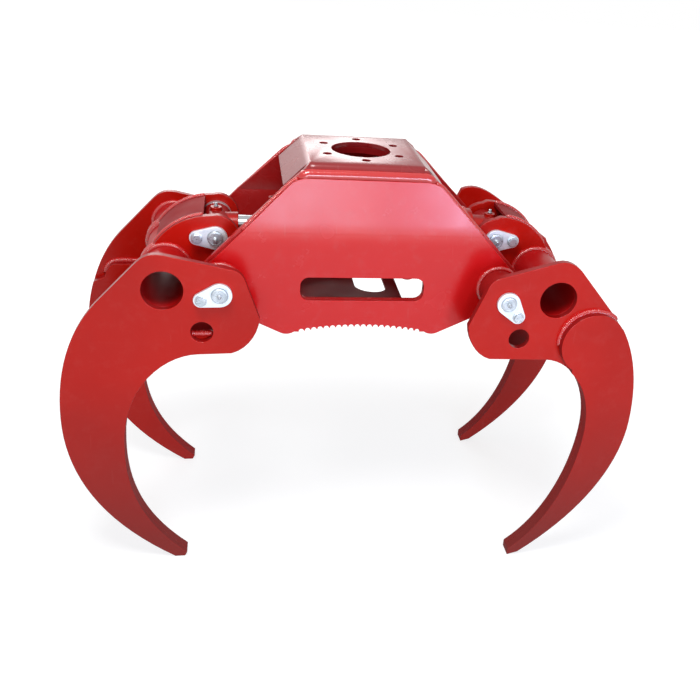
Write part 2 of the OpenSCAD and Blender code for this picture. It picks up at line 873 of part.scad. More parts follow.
// Pin with a spigot through its flag, from its outer face inward
module pin(face, inner) {
    translate([0, -face, 0])
    rotate([-90, 0, 0])
    rotate_extrude($fn = round_fn)
    polygon([[0, -flag_t - spigot_h], [spigot_r - pin_chamfer / 2, -flag_t - spigot_h],
        [spigot_r, -flag_t - spigot_h + pin_chamfer / 2], [spigot_r, 0], [pin_r, 0],
        [pin_r, inner + face - pin_chamfer], [pin_r - pin_chamfer, inner + face],
        [0, inner + face]]);
}

// Flag plate with a hole for the spigot and one for its bolt
module flag(face, turn) {
    a = acos((flag_r - flag_small_r) / flag_reach);
    translate([0, -face - flag_t, 0])
    rotate([0, -turn, 0])
    difference() {
        translate([0, flag_t, 0])
        rotate([90, 0, 0])
        linear_extrude(height = flag_t)
        polygon(concat(arc([0, 0], flag_r, a, 360 - a, 24), arc([flag_reach, 0], flag_small_r, -a, a, 14)));
        round_y(spigot_r + seat_play, -cut, flag_t + cut);
        translate([flag_reach, 0, 0])
        round_y(flag_bolt_r + seat_play, -cut, flag_t + cut, small_fn);
    }
}

// Hexagon bolt of a flag
module flag_bolt(face, turn) {
    rotate([0, -turn, 0])
    translate([flag_reach, 0, 0]) {
        round_y(flag_head_r, -face - flag_t - flag_head_h, -face - flag_t, 6);
        round_y(flag_bolt_r, -face - flag_t, flag_bolt_in - face, small_fn);
    }
}

// Grease nipple, standing along Z
module nipple_shape() {
    rotate_extrude($fn = small_fn)
    polygon([[0, 0], [nipple_r, 0], [nipple_r, nipple_h * 0.35], [nipple_r * 0.55, nipple_h * 0.45],
        [nipple_r * 0.55, nipple_h * 0.6], [nipple_r * 0.75, nipple_h * 0.75],
        [nipple_r * 0.6, nipple_h * 0.92], [nipple_r * 0.3, nipple_h], [0, nipple_h]]);
}

// Grease nipple on the outer face of a pin
module pin_nipple(face) {
    translate([0, -face - flag_t - spigot_h, 0])
    rotate([90, 0, 0])
    nipple_shape();
}

// Shape moved to the cylinder pin of one arm
module at_lug() {
    translate([lug_at[0], 0, lug_at[1]])
    children();
}

module left_front_plate() {
    color("firebrick") at_pivot(-1) side_plate(left_outline, left_face, left_flag_angle);
}

module left_rear_plate() {
    color("firebrick") mirror([0, 1, 0]) at_pivot(-1) side_plate(left_outline, left_face, left_flag_angle);
}

module left_front_blade() {
    color("firebrick") at_pivot(-1) inner_blade();
}

module left_rear_blade() {
    color("firebrick") mirror([0, 1, 0]) at_pivot(-1) inner_blade();
}

module left_torque_tube() {
    color("firebrick") at_pivot(-1) torque_tube(left_face);
}

module left_throat_plate() {
    color("firebrick") at_pivot(-1) throat_plate(left_face - side_t - blade_t);
}

module left_near_lug() {
    color("firebrick") at_pivot(-1) lug(-left_near_face, left_back_at, left_back_r);
}

module left_far_lug() {
    color("firebrick") at_pivot(-1) lug(left_far_face - lug_t, left_back_at, left_back_r);
}

module left_cover() {
    color("firebrick")
    at_pivot(-1)
    lug_cover(lug_t - left_near_face, left_far_face - lug_t, left_back_at, left_back_r);
}

module left_pivot_pins() {
    color("silver") near_and_far() at_pivot(-1) pin(left_face, -boss_end);
}

module left_lug_pin() {
    color("silver") at_pivot(-1) at_lug() pin(left_near_face, left_far_face + spigot_h);
}

module left_flags() {
    color("gainsboro") {
        near_and_far() at_pivot(-1) flag(left_face, left_flag_angle);
        at_pivot(-1) at_lug() flag(left_near_face, lug_flag_angle);
    }
}

module left_flag_bolts() {
    color("silver") {
        near_and_far() at_pivot(-1) flag_bolt(left_face, left_flag_angle);
        at_pivot(-1) at_lug() flag_bolt(left_near_face, lug_flag_angle);
    }
}

module left_nipples() {
    color("silver") {
        near_and_far() at_pivot(-1) pin_nipple(left_face);
        at_pivot(-1) at_lug() pin_nipple(left_near_face);
    }
}

module left_spacers() {
    color("silver")
    at_pivot(-1)
    at_lug()
    difference() {
        union() {
            round_y(spacer_r, lug_t - left_near_face, -rod_eye_half - side_play);
            round_y(spacer_r, rod_eye_half + side_play, left_far_face - lug_t);
        }
        round_y(pin_bore_r, -left_near_face, left_far_face);
    }
}

module right_front_plate() {
    color("firebrick") at_pivot(1) side_plate(right_outline, right_face, right_flag_angle);
}

module right_rear_plate() {
    color("firebrick")
    mirror([0, 1, 0])
    at_pivot(1)
    side_plate(rear_right_outline, right_face, right_flag_angle);
}

module right_front_blade() {
    color("firebrick") at_pivot(1) outer_blade();
}

module right_rear_blade() {
    color("firebrick") mirror([0, 1, 0]) at_pivot(1) outer_blade();
}

module right_torque_tube() {
    color("firebrick") at_pivot(1) torque_tube(right_face);
}

module right_throat_plate() {
    color("firebrick") at_pivot(1) throat_plate(right_face - side_t);
}

module right_near_lug() {
    color("firebrick") at_pivot(1) lug(-right_lug_face, right_back_at, right_back_r);
}

module right_far_lug() {
    color("firebrick") at_pivot(1) lug(right_lug_face - lug_t, right_back_at, right_back_r);
}

module right_cover() {
    color("firebrick")
    at_pivot(1)
    lug_cover(lug_t - right_lug_face, right_lug_face - lug_t, right_back_at, right_back_r);
}

module right_pivot_pins() {
    color("silver") near_and_far() at_pivot(1) pin(right_face, -boss_end);
}

module right_lug_pin() {
    color("silver") at_pivot(1) at_lug() pin(right_lug_face, right_lug_face + spigot_h);
}

module right_flags() {
    color("gainsboro") {
        near_and_far() at_pivot(1) flag(right_face, right_flag_angle);
        at_pivot(1) at_lug() flag(right_lug_face, lug_flag_angle);
    }
}

module right_flag_bolts() {
    color("silver") {
        near_and_far() at_pivot(1) flag_bolt(right_face, right_flag_angle);
        at_pivot(1) at_lug() flag_bolt(right_lug_face, lug_flag_angle);
    }
}

module right_nipples() {
    color("silver") {
        near_and_far() at_pivot(1) pin_nipple(right_face);
        at_pivot(1) at_lug() pin_nipple(right_lug_face);
    }
}

// Shape moved to the height of the cylinder axis
module on_axis() {
    translate([0, 0, axis_z])
    children();
}

module rod() {
    start = -eye_x + rod_eye_r + rod_neck - rod_seat;
    color("gainsboro")
    on_axis() {
        round_x(rod_r, start, piston_x);
        round_x(rod_end_r, piston_x, piston_x + piston_len + piston_nut_h);
    }
}

module rod_eye() {
    neck_end = -eye_x + rod_eye_r + rod_neck;
    color("firebrick")
    on_axis()
    difference() {
        union() {
            translate([-eye_x, 0, 0]) round_y(rod_eye_r, -rod_eye_half, rod_eye_half);
            round_x(rod_neck_r, -eye_x, neck_end);
            translate([-eye_x, 0, 0]) cylinder(r = eye_boss_r, h = rod_eye_r + eye_boss_h, $fn = small_fn);
        }
        translate([-eye_x, 0, 0]) round_y(pin_r + bush_wall, -rod_eye_half - cut, rod_eye_half + cut);
        round_x(rod_r + seat_play, neck_end - rod_seat, neck_end + rod_eye_r);
    }
}

// Bush in an eye of the cylinder
module eye_bush(half) {
    difference() {
        round_y(pin_r + bush_wall, -half, half);
        round_y(pin_bore_r, -half - cut, half + cut);
    }
}

module rod_eye_bush() {
    color("goldenrod") on_axis() translate([-eye_x, 0, 0]) eye_bush(rod_eye_half);
}

module rod_nipple() {
    color("silver")
    on_axis()
    translate([-eye_x, 0, rod_eye_r + eye_boss_h])
    nipple_shape();
}

module piston() {
    color("dimgray")
    on_axis()
    difference() {
        round_x(bore_r - piston_play, piston_x, piston_x + piston_len);
        round_x(rod_end_r + seat_play, piston_x - cut, piston_x + piston_len + cut);
        for (k = [0.25, 0.75]) seal_ring(k);
    }
}

// Ring in a groove of the piston
module seal_ring(k) {
    middle = piston_x + piston_len * k;
    difference() {
        round_x(bore_r, middle - seal_w / 2, middle + seal_w / 2);
        round_x(bore_r - seal_deep, middle - seal_w, middle + seal_w);
    }
}

module piston_seals() {
    color("black")
    on_axis()
    for (k = [0.25, 0.75])
    intersection() {
        seal_ring(k);
        round_x(bore_r - piston_play / 2, piston_x, piston_x + piston_len);
    }
}

module piston_nut() {
    color("silver")
    on_axis()
    difference() {
        round_x(piston_nut_r, piston_x + piston_len, piston_x + piston_len + piston_nut_h, 6);
        round_x(rod_end_r + seat_play, piston_x, piston_x + piston_len + piston_nut_h + cut);
    }
}

// Threaded bores of the two hose ports
module port_cuts() {
    translate([port_rod_x, 0, port_rod_floor])
    cylinder(r = port_bore_r, h = barrel_r + port_h * 2, $fn = small_fn);
    translate([port_base_x, 0, 0])
    cylinder(r = port_bore_r, h = barrel_r + port_h * 2, $fn = small_fn);
}

module barrel_tube() {
    color("firebrick")
    on_axis()
    difference() {
        round_x(barrel_r, barrel_rod_end, barrel_base_end);
        round_x(bore_r, barrel_rod_end - cut, barrel_base_end + cut);
        port_cuts();
    }
}

module barrel_base() {
    color("firebrick")
    on_axis()
    difference() {
        union() {
            round_x(barrel_r, barrel_base_end, barrel_base_end + base_t);
            round_x(barrel_eye_r, barrel_base_end, eye_x);
            translate([eye_x, 0, 0]) round_y(barrel_eye_r, -barrel_eye_half, barrel_eye_half);
            translate([eye_x, 0, 0]) cylinder(r = eye_boss_r, h = barrel_eye_r + eye_boss_h, $fn = small_fn);
        }
        translate([eye_x, 0, 0]) round_y(pin_r + bush_wall, -barrel_eye_half - cut, barrel_eye_half + cut);
    }
}

module barrel_eye_bush() {
    color("goldenrod") on_axis() translate([eye_x, 0, 0]) eye_bush(barrel_eye_half);
}

module barrel_nipple() {
    color("silver")
    on_axis()
    translate([eye_x, 0, barrel_eye_r + eye_boss_h])
    nipple_shape();
}

// Groove and ring at the mouth of the gland
module wiper_shape() {
    difference() {
        round_x(rod_r + wiper_deep, gland_x, gland_x + wiper_w);
        round_x(rod_r + rod_play, gland_x - cut, gland_x + cut);
    }
}

module gland() {
    color("dimgray")
    on_axis()
    difference() {
        union() {
            round_x(gland_r, gland_x, barrel_rod_end);
            round_x(bore_r - seat_play, barrel_rod_end, barrel_rod_end + gland_in);
        }
        round_x(rod_r + rod_play, gland_x - cut, barrel_rod_end + gland_in + cut);
        wiper_shape();
        port_cuts();
        translate([0, 0, oil_way_rise])
        round_x(oil_way_r, port_rod_x, barrel_rod_end + gland_in + cut, small_fn);
    }
}

module wiper_ring() {
    color("black") on_axis() wiper_shape();
}

module hose_ports() {
    color("firebrick")
    on_axis()
    difference() {
        for (x = [port_rod_x, port_base_x])
        translate([x, 0, 0])
        cylinder(r = port_r, h = barrel_r + port_h, $fn = small_fn);
        round_x(barrel_r, barrel_rod_end, port_base_x * 2);
        round_x(gland_r, gland_x * 2, barrel_rod_end);
        port_cuts();
    }
}

top_plate();
front_leg();
rear_leg();
top_backing_plate();
front_doubler();
rear_doubler();
belly_plate();
left_collars();
right_collars();
pivot_bushes();
left_front_plate();
left_rear_plate();
left_front_blade();
left_rear_blade();
left_torque_tube();
left_throat_plate();
left_near_lug();
left_far_lug();
left_cover();
left_pivot_pins();
left_lug_pin();
left_flags();
left_flag_bolts();
left_nipples();
left_spacers();
right_front_plate();
right_rear_plate();
right_front_blade();
right_rear_blade();
right_torque_tube();
right_throat_plate();
right_near_lug();
right_far_lug();
right_cover();
right_pivot_pins();
right_lug_pin();
right_flags();
right_flag_bolts();
right_nipples();
rod();
rod_eye();
rod_eye_bush();
rod_nipple();
piston();
piston_seals();
piston_nut();
barrel_tube();
barrel_base();
barrel_eye_bush();
barrel_nipple();
gland();
wiper_ring();
hose_ports();
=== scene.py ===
"""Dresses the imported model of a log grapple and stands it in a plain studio."""

import json
import logging
import math
from dataclasses import dataclass, replace
from enum import Enum
from typing import Iterable

import bpy
import numpy as np
from mathutils import Matrix, Vector


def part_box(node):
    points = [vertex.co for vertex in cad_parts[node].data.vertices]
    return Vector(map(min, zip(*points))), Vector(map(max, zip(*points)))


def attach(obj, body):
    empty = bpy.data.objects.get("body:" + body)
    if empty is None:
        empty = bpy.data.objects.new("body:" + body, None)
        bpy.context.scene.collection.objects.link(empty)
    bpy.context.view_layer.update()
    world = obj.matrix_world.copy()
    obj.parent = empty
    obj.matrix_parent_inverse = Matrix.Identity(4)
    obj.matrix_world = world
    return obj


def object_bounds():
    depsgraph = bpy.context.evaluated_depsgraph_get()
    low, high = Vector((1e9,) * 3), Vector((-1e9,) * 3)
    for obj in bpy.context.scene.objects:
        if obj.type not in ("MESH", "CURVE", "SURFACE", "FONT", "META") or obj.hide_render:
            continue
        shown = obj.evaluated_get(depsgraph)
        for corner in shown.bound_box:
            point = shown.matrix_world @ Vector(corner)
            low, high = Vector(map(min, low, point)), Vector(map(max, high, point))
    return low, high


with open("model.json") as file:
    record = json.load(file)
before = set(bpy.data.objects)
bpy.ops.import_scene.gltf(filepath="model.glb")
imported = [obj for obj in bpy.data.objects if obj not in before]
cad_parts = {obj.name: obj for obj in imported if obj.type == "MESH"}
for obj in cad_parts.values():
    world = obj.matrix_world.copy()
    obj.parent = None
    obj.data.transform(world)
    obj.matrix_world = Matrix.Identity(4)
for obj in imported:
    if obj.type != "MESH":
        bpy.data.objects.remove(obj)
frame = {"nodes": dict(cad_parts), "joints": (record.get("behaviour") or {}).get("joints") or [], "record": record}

logging.basicConfig(level=logging.INFO, format="%(message)s")
LOG = logging.getLogger("grapple")
CAD_BOX = [list(corner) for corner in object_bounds()]

Array = np.ndarray
Material = bpy.types.Material
Socket = bpy.types.NodeSocket
Pair = tuple[float, float]
Triple = tuple[float, float, float]
Colour = tuple[float, float, float, float]

TOP = CAD_BOX[1][2]
TOP_HALF = 0.115
CREASE_DROP = 0.135
JOINT_AT = {joint["name"]: np.array(joint["pos_m"], float) for joint in frame["joints"]}
WHITE: Colour = (1, 1, 1, 1)


class Slot(Enum):
    """Material slots of the record."""

    PAINT = "red_paint"
    ZINC = "zinc_plate"
    STEEL = "bright_steel"
    BRONZE = "bronze"
    CHROME = "chrome"
    DARK = "dark_steel"
    RUBBER = "seal_rubber"


class Body(Enum):
    """Bodies of the grapple that carry a piece made here."""

    BODY = "body"
    LEFT = "left_arm"
    RIGHT = "right_arm"
    BARREL = "barrel_group"


class Side(Enum):
    """Sides of the grapple, as the sign of X."""

    LEFT = -1
    RIGHT = 1


# Finishes


class Nodes:
    """Small helper that fills one tree of nodes."""

    def __init__(self, owner: bpy.types.ID) -> None:
        """Empties the tree of its owner.

        Args:
            owner: A new material, world or node group.
        """
        self.owner = owner
        if not isinstance(owner, bpy.types.NodeTree):
            owner.use_nodes = True
        self.tree = owner if isinstance(owner, bpy.types.NodeTree) else owner.node_tree
        self.tree.nodes.clear()

    def add(self, kind: str, **values: object) -> bpy.types.Node:
        """Adds a node and sets its inputs and properties.

        Args:
            kind: The node's type, in full or without a ShaderNode prefix.
            values: Properties, inputs by name with underscores for spaces, or inputs by number after
                an underscore.

        Returns:
            The new node.
        """
        node = self.tree.nodes.new(kind if "Node" in kind else "ShaderNode" + kind)
        for key, value in values.items():
            if hasattr(node, key):
                setattr(node, key, value)
                continue
            number = key[1:]
            socket = node.inputs[int(number) if number.isdigit() else key.replace("_", " ")]
            if isinstance(value, Socket):
                self.tree.links.new(value, socket)
            else:
                socket.default_value = value
        return node

    def math(self, operation: str, first: object, second: object = 0.0, third: object = 0.0) -> Socket:
        """Adds a math node of up to three values or sockets and gives its output."""
        return self.add("Math", operation=operation, _0=first, _1=second, _2=third).outputs[0]

    def spread(self, value: Socket, low: float, high: float, to_low: float = 0.0,
               to_high: float = 1.0) -> Socket:
        """Maps a value from the range low to high to the range to_low to to_high, held at the ends."""
        return self.add("MapRange", clamp=True, _0=value, _1=low, _2=high, _3=to_low, _4=to_high).outputs[0]

    def blend(self, share: object, first: object, second: object) -> Socket:
        """Mixes two colours or their sockets by the share of the second."""
        return self.add("Mix", data_type="RGBA", _0=share, _6=first, _7=second).outputs[2]

    def clear_rays(self) -> Socket:
        """Tells the rays to which the studio is white.

        Returns:
            One for rays from the camera, off a mirror or through glass, and zero for all others.
        """
        rays = self.add("LightPath").outputs
        bent = self.math("MAXIMUM", rays["Is Glossy Ray"], rays["Is Transmission Ray"])
        return self.math("MAXIMUM", rays["Is Camera Ray"], bent)

    def finish(self, shader: Socket) -> bpy.types.ID:
        """Links the shader to the output of a material or a world.

        Args:
            shader: The last shader.

        Returns:
            The finished material or world.
        """
        kind = "OutputWorld" if isinstance(self.owner, bpy.types.World) else "OutputMaterial"
        self.add(kind, Surface=shader)
        return self.owner


@dataclass(frozen=True)
class Grain:
    """Noise of a finish: its scale, detail, roughness and stretch, and the range of it that counts."""

    scale: float
    detail: float = 2.0
    rough: float = 0.5
    stretch: Triple = (1.0, 1.0, 1.0)
    low: float = 0.0
    high: float = 1.0

    def value(self, n: Nodes, place: Socket) -> Socket:
        """Adds the noise on stretched coordinates.

        Args:
            n: The material's nodes.
            place: Coordinates.

        Returns:
            The noise value.
        """
        turned = n.add("Mapping", Vector=place, Scale=self.stretch).outputs[0]
        return n.add("TexNoise", Vector=turned, Scale=self.scale, Detail=self.detail,
                     Roughness=self.rough).outputs[0]

    def share(self, n: Nodes, place: Socket, to_low: float = 0.0, to_high: float = 1.0) -> Socket:
        """Adds the noise and maps the range of it that counts to another."""
        return n.spread(self.value(n, place), self.low, self.high, to_low, to_high)


DRIFT = Grain(3.2, 4, low=0.35, high=0.65)
DUST = Grain(36.0, 6, 0.65, low=0.52, high=0.78)
SHEEN = Grain(14.0, 1, low=0.3, high=0.7)
PEEL = Grain(70.0, 1)
SPECK = Grain(260.0)
SCRATCH = Grain(95.0, 1, 0.4, (1.0, 0.2, 0.12), 0.735, 0.76)
RIBS = Grain(420.0, 2, 0.6, (1.0, 0.05, 1.0))
WAVES = Grain(6.5, 1, 0.4)
PATCHES = Grain(60.0, 5, 0.6, low=0.35, high=0.68)
TOOL_LINES = Grain(300.0, 3, low=0.25, high=0.75)
MOULD_SKIN = Grain(500.0, 3, low=0.3, high=0.7)


@dataclass(frozen=True)
class Bend:
    """Soft bend of a plate: the axis that crosses it, its place on it, and its reach and half angle."""

    axis: int
    place: float
    reach: float
    half_angle: float
    mirrored: bool = False

    def height(self, n: Nodes, axes: Iterable[Socket]) -> Socket:
        """Gives the height that rounds the shading of the bend.

        Within the reach, the height is the tangent of the half angle times the distance less the
        distance squared over twice the reach, and beyond it the height stays level.

        Args:
            n: The material's nodes.
            axes: Sockets of X, Y and Z.

        Returns:
            The height in metres.
        """
        value = list(axes)[self.axis]
        if self.mirrored:
            value = n.math("ABSOLUTE", value)
        far = n.math("MINIMUM", n.math("ABSOLUTE", n.math("SUBTRACT", value, self.place)), self.reach)
        bow = n.math("MULTIPLY", n.math("MULTIPLY", far, far), -0.5 / self.reach)
        return n.math("MULTIPLY", n.math("ADD", far, bow), math.tan(self.half_angle))


@dataclass
class Coat:
    """Colour, roughness and height of a finish while it is built up."""

    base: Socket
    rough: Socket
    height: Socket


@dataclass(frozen=True)
class Enamel:
    """Gloss paint over steel plate, with dust, scratches, cut edges and painted shade that darkens it towards the
    ground.
    """

    name: str
    colour: Colour
    shade: Colour
    haze: Colour
    edge: Colour | None = None
    gloss: float = 0.22
    bends: tuple[Bend, ...] = ()
    ior: float = 1.38
    grain: float = 0.2
    # Share of the painted shade that darkens the paint towards the ground.
    ground_shade: float = 0.0
    gloss_shares: Pair = (0.88, 1.15)
    dust_share: float = 0.75
    scratch_share: float = 0.12
    scratch_depth: float = 0.04
    peel_height: float = 0.3
    speck_height: float = 0.06
    rib_height: float = 0.5
    wave_height: float = 0.0011
    relief: float = 0.0008
    edge_normals: Pair = (0.2, 0.6)
    inward_normals: Pair = (-0.4, -0.1)
    dull_shares: Pair = (0.5, 0.08)
    # Heights over which the painted shade near the ground fades out, and the dark colour it darkens to.
    ground_shade_heights: Pair = (0.05, 0.45)
    ground_shade_colour: Colour = (0.17, 0.020, 0.016, 1)

    def face_coat(self, n: Nodes, place: Socket) -> Coat:
        """Paints the faces: the colour drifts slowly, under dust, scratches and an uneven gloss.

        Args:
            n: The material's nodes.
            place: Coordinates.

        Returns:
            The coat.
        """
        base = n.blend(DRIFT.share(n, place), self.colour, self.shade)
        dust = DUST.share(n, place, 0.0, self.grain * self.dust_share)
        base = n.blend(dust, base, self.haze)
        scratch = SCRATCH.share(n, place)
        base = n.blend(n.math("MULTIPLY", scratch, self.scratch_share), base, self.haze)
        rough = SHEEN.share(n, place, *(self.gloss * share for share in self.gloss_shares))
        rough = n.math("MULTIPLY_ADD", dust, self.grain, rough)
        height = n.math("MULTIPLY", PEEL.value(n, place), self.peel_height)
        height = n.math("MULTIPLY_ADD", SPECK.value(n, place), self.speck_height, height)
        height = n.math("MULTIPLY_ADD", scratch, -self.scratch_depth, height)
        return Coat(base, rough, height)

    def mark_edges(self, n: Nodes, coat: Coat, place: Socket, axes: Iterable[Socket],
                   normal: Socket) -> None:
        """Darkens the plate's cut edges and ribs them across the plate.

        The edges that face the middle of the grapple, along the inside of the tines, are dull.

        Args:
            n: The material's nodes.
            coat: The coat so far.
            place: Coordinates.
            axes: Sockets of X, Y and Z.
            normal: The surface normal.
        """
        facing = n.add("SeparateXYZ", Vector=normal).outputs
        edge = n.spread(n.math("ABSOLUTE", facing[1]), *self.edge_normals, 1.0, 0.0)
        coat.base = n.blend(edge, coat.base, self.edge)
        inward = n.math("MULTIPLY", facing[0], n.math("SIGN", list(axes)[0]))
        dull = n.spread(inward, *self.inward_normals, *self.dull_shares)
        coat.rough = n.math("MULTIPLY_ADD", edge, dull, coat.rough)
        ribbed = n.math("MULTIPLY", RIBS.value(n, place), edge)
        coat.height = n.math("MULTIPLY_ADD", ribbed, self.rib_height, coat.height)

    def build(self) -> Material:
        """Builds the material: faces, cut edges, painted shade near the ground, the plate's waves and its bends.

        Returns:
            The material.
        """
        n = Nodes(bpy.data.materials.new(self.name))
        coord = n.add("TexCoord").outputs
        place = coord["Object"]
        axes = n.add("SeparateXYZ", Vector=place).outputs
        coat = self.face_coat(n, place)
        if self.edge is not None:
            self.mark_edges(n, coat, place, axes, coord["Normal"])
        # Painted shade: the colour darkens towards the ground, where the low parts get less light.
        if self.ground_shade:
            low = n.spread(axes[2], *self.ground_shade_heights, self.ground_shade, 0.0)
            coat.base = n.blend(low, coat.base, self.ground_shade_colour)
        shape = n.math("MULTIPLY", WAVES.value(n, place), self.wave_height)
        for bend in self.bends:
            shape = n.math("ADD", shape, bend.height(n, axes))
        warp = n.add("Bump", Strength=1.0, Distance=1.0, Height=shape).outputs[0]
        bump = n.add("Bump", Strength=self.grain, Distance=self.relief, Height=coat.height, Normal=warp)
        shader = n.add("BsdfPrincipled", Base_Color=coat.base, Roughness=coat.rough,
                       Normal=bump.outputs[0], IOR=self.ior)
        return n.finish(shader.outputs[0])


@dataclass(frozen=True)
class Metal:
    """Bare or plated metal with fine lines and cloudy patches."""

    name: str
    colour: Colour
    cloud: Colour
    rough: float
    lines: Grain = TOOL_LINES
    bump: float = 0.1
    metallic: float = 1.0
    relief: float = 0.0004
    rough_shares: Pair = (0.75, 1.3)

    def build(self) -> Material:
        """Builds the material: patches vary the colour, stretched noise makes the tool lines.

        Returns:
            The material.
        """
        n = Nodes(bpy.data.materials.new(self.name))
        place = n.add("TexCoord").outputs["Object"]
        base = n.blend(PATCHES.share(n, place), self.colour, self.cloud)
        lines = self.lines.value(n, place)
        rough = n.spread(lines, self.lines.low, self.lines.high,
                         *(self.rough * share for share in self.rough_shares))
        bump = n.add("Bump", Strength=self.bump, Distance=self.relief, Height=lines).outputs[0]
        shader = n.add("BsdfPrincipled", Base_Color=base, Roughness=rough, Normal=bump,
                       Metallic=self.metallic)
        return n.finish(shader.outputs[0])


@dataclass(frozen=True)
class Moulding:
    """Dull moulded rubber."""

    name: str
    colour: Colour
    rough: float = 0.6
    bump: float = 0.2
    relief: float = 0.0003
    rough_shares: Pair = (0.85, 1.1)

    def build(self) -> Material:
        """Builds the material: fine grain in roughness and height.

        Returns:
            The material.
        """
        n = Nodes(bpy.data.materials.new(self.name))
        place = n.add("TexCoord").outputs["Object"]
        skin = MOULD_SKIN.value(n, place)
        rough = n.spread(skin, MOULD_SKIN.low, MOULD_SKIN.high,
                         *(self.rough * share for share in self.rough_shares))
        bump = n.add("Bump", Strength=self.bump, Distance=self.relief, Height=skin).outputs[0]
        shader = n.add("BsdfPrincipled", Base_Color=self.colour, Roughness=rough, Normal=bump)
        return n.finish(shader.outputs[0])


CREASE = Bend(axis=2, place=TOP - CREASE_DROP, reach=0.024, half_angle=math.radians(4.3))
SHOULDER = Bend(axis=0, place=TOP_HALF, reach=0.010, half_angle=math.radians(18), mirrored=True)
# The arm plates carry painted shade that darkens them towards the ground; the rear plates carry less of it.
PLATE_PAINT = Enamel("red_enamel", (0.56, 0.009, 0.004, 1), (0.48, 0.007, 0.003, 1),
                     (0.60, 0.08, 0.07, 1), (0.30, 0.004, 0.004, 1), ior=1.33, ground_shade=0.75)
REAR_PAINT = replace(PLATE_PAINT, name="red_enamel_rear", ground_shade=0.15)
# Painted light: the doubler's paint is a lighter copy of the one red, for the body's brightly lit front faces.
LIT_DOUBLER_PAINT = Enamel("red_enamel_body", (0.66, 0.007, 0.007, 1), (0.60, 0.005, 0.006, 1),
                       (0.66, 0.12, 0.12, 1), (0.40, 0.005, 0.006, 1), gloss=0.24, bends=(CREASE,),
                       ior=1.46)
# Painted shade: the legs' paint is a darker copy of the one red.
SHADED_LEG_PAINT = Enamel("red_enamel_legs", (0.50, 0.014, 0.014, 1), (0.43, 0.012, 0.012, 1),
                   (0.60, 0.14, 0.14, 1), gloss=0.26, bends=(CREASE,))
# Painted shade: the top plate's paint is a much darker copy of the one red, so its lit top shows mostly its
# reflection.
SHADED_TOP_PAINT = Enamel("red_enamel_top", (0.27, 0.008, 0.010, 1), (0.23, 0.007, 0.009, 1),
                   (0.44, 0.14, 0.14, 1), gloss=0.26, bends=(SHOULDER,), ior=1.54, grain=0.06)
# Painted shade: the torque tubes' paint is a darker copy of the one red, to darken the shaded insides of the
# tubes.
SHADED_TUBE_PAINT = Enamel("red_enamel_tube", (0.46, 0.005, 0.006, 1), (0.38, 0.004, 0.005, 1),
                    (0.50, 0.06, 0.06, 1), gloss=0.40, ior=1.28)
# Painted shade: the paint of the belly, backing and throat plates and of the covers is a much darker copy of the
# one red, for parts that lie in shade inside and between the plates.
SHADED_INSIDE_PAINT = Enamel("red_enamel_inside", (0.28, 0.005, 0.007, 1), (0.22, 0.004, 0.006, 1),
                     (0.46, 0.06, 0.06, 1), gloss=0.55, ior=1.2)
BEAD_PAINT = Enamel("red_enamel_bead", (0.58, 0.006, 0.007, 1), (0.50, 0.005, 0.006, 1),
                    (0.60, 0.10, 0.10, 1), gloss=0.16, ior=1.75)
NODE_PAINTS: dict[str, Enamel] = {
    "front_doubler": LIT_DOUBLER_PAINT, "rear_doubler": LIT_DOUBLER_PAINT,
    "front_leg": SHADED_LEG_PAINT, "rear_leg": SHADED_LEG_PAINT, "top_plate": SHADED_TOP_PAINT,
    "belly_plate": SHADED_INSIDE_PAINT, "top_backing_plate": SHADED_INSIDE_PAINT,
    "left_throat_plate": SHADED_INSIDE_PAINT, "right_throat_plate": SHADED_INSIDE_PAINT,
    "left_cover": SHADED_INSIDE_PAINT, "right_cover": SHADED_INSIDE_PAINT,
    "left_torque_tube": SHADED_TUBE_PAINT, "right_torque_tube": SHADED_TUBE_PAINT,
    "left_rear_plate": REAR_PAINT, "right_rear_plate": REAR_PAINT,
    "left_rear_blade": REAR_PAINT, "right_rear_blade": REAR_PAINT,
}
ROD_LINES = replace(TOOL_LINES, scale=800.0, stretch=(0.05, 1.0, 1.0))
FINISHES: dict[Slot, Enamel | Metal | Moulding] = {
    Slot.PAINT: PLATE_PAINT,
    Slot.ZINC: Metal("bright_zinc", (0.86, 0.87, 0.88, 1), (0.64, 0.70, 0.76, 1), 0.42, metallic=0.5),
    Slot.STEEL: Metal("turned_steel", (0.60, 0.63, 0.66, 1), (0.42, 0.46, 0.50, 1), 0.3, metallic=0.6),
    Slot.BRONZE: Metal("bearing_bronze", (0.62, 0.42, 0.20, 1), (0.48, 0.32, 0.15, 1), 0.35),
    Slot.CHROME: Metal("hard_chrome", (0.48, 0.49, 0.51, 1), (0.42, 0.43, 0.46, 1), 0.10, ROD_LINES, 0.03),
    Slot.DARK: Metal("machined_iron", (0.12, 0.12, 0.13, 1), (0.08, 0.08, 0.09, 1), 0.4),
    Slot.RUBBER: Moulding("seal_rubber", (0.02, 0.02, 0.02, 1)),
}


# Studio


@dataclass(frozen=True)
class Softbox:
    """Rectangular lamp: its place, the point it faces, its width and height, its power and its tint."""

    name: str
    place: Triple
    aim: Triple
    size: Pair
    watts: float
    tint: Triple = (1.0, 1.0, 1.0)

    def build(self) -> None:
        """Hangs the lamp in the scene."""
        data = bpy.data.lights.new(self.name, "AREA")
        data.shape, data.energy, data.color = "RECTANGLE", self.watts, self.tint
        data.size, data.size_y = self.size
        lamp = bpy.data.objects.new(self.name, data)
        lamp.location = self.place
        lamp.rotation_euler = (Vector(self.aim) - Vector(self.place)).to_track_quat("-Z", "Y").to_euler()
        bpy.context.scene.collection.objects.link(lamp)


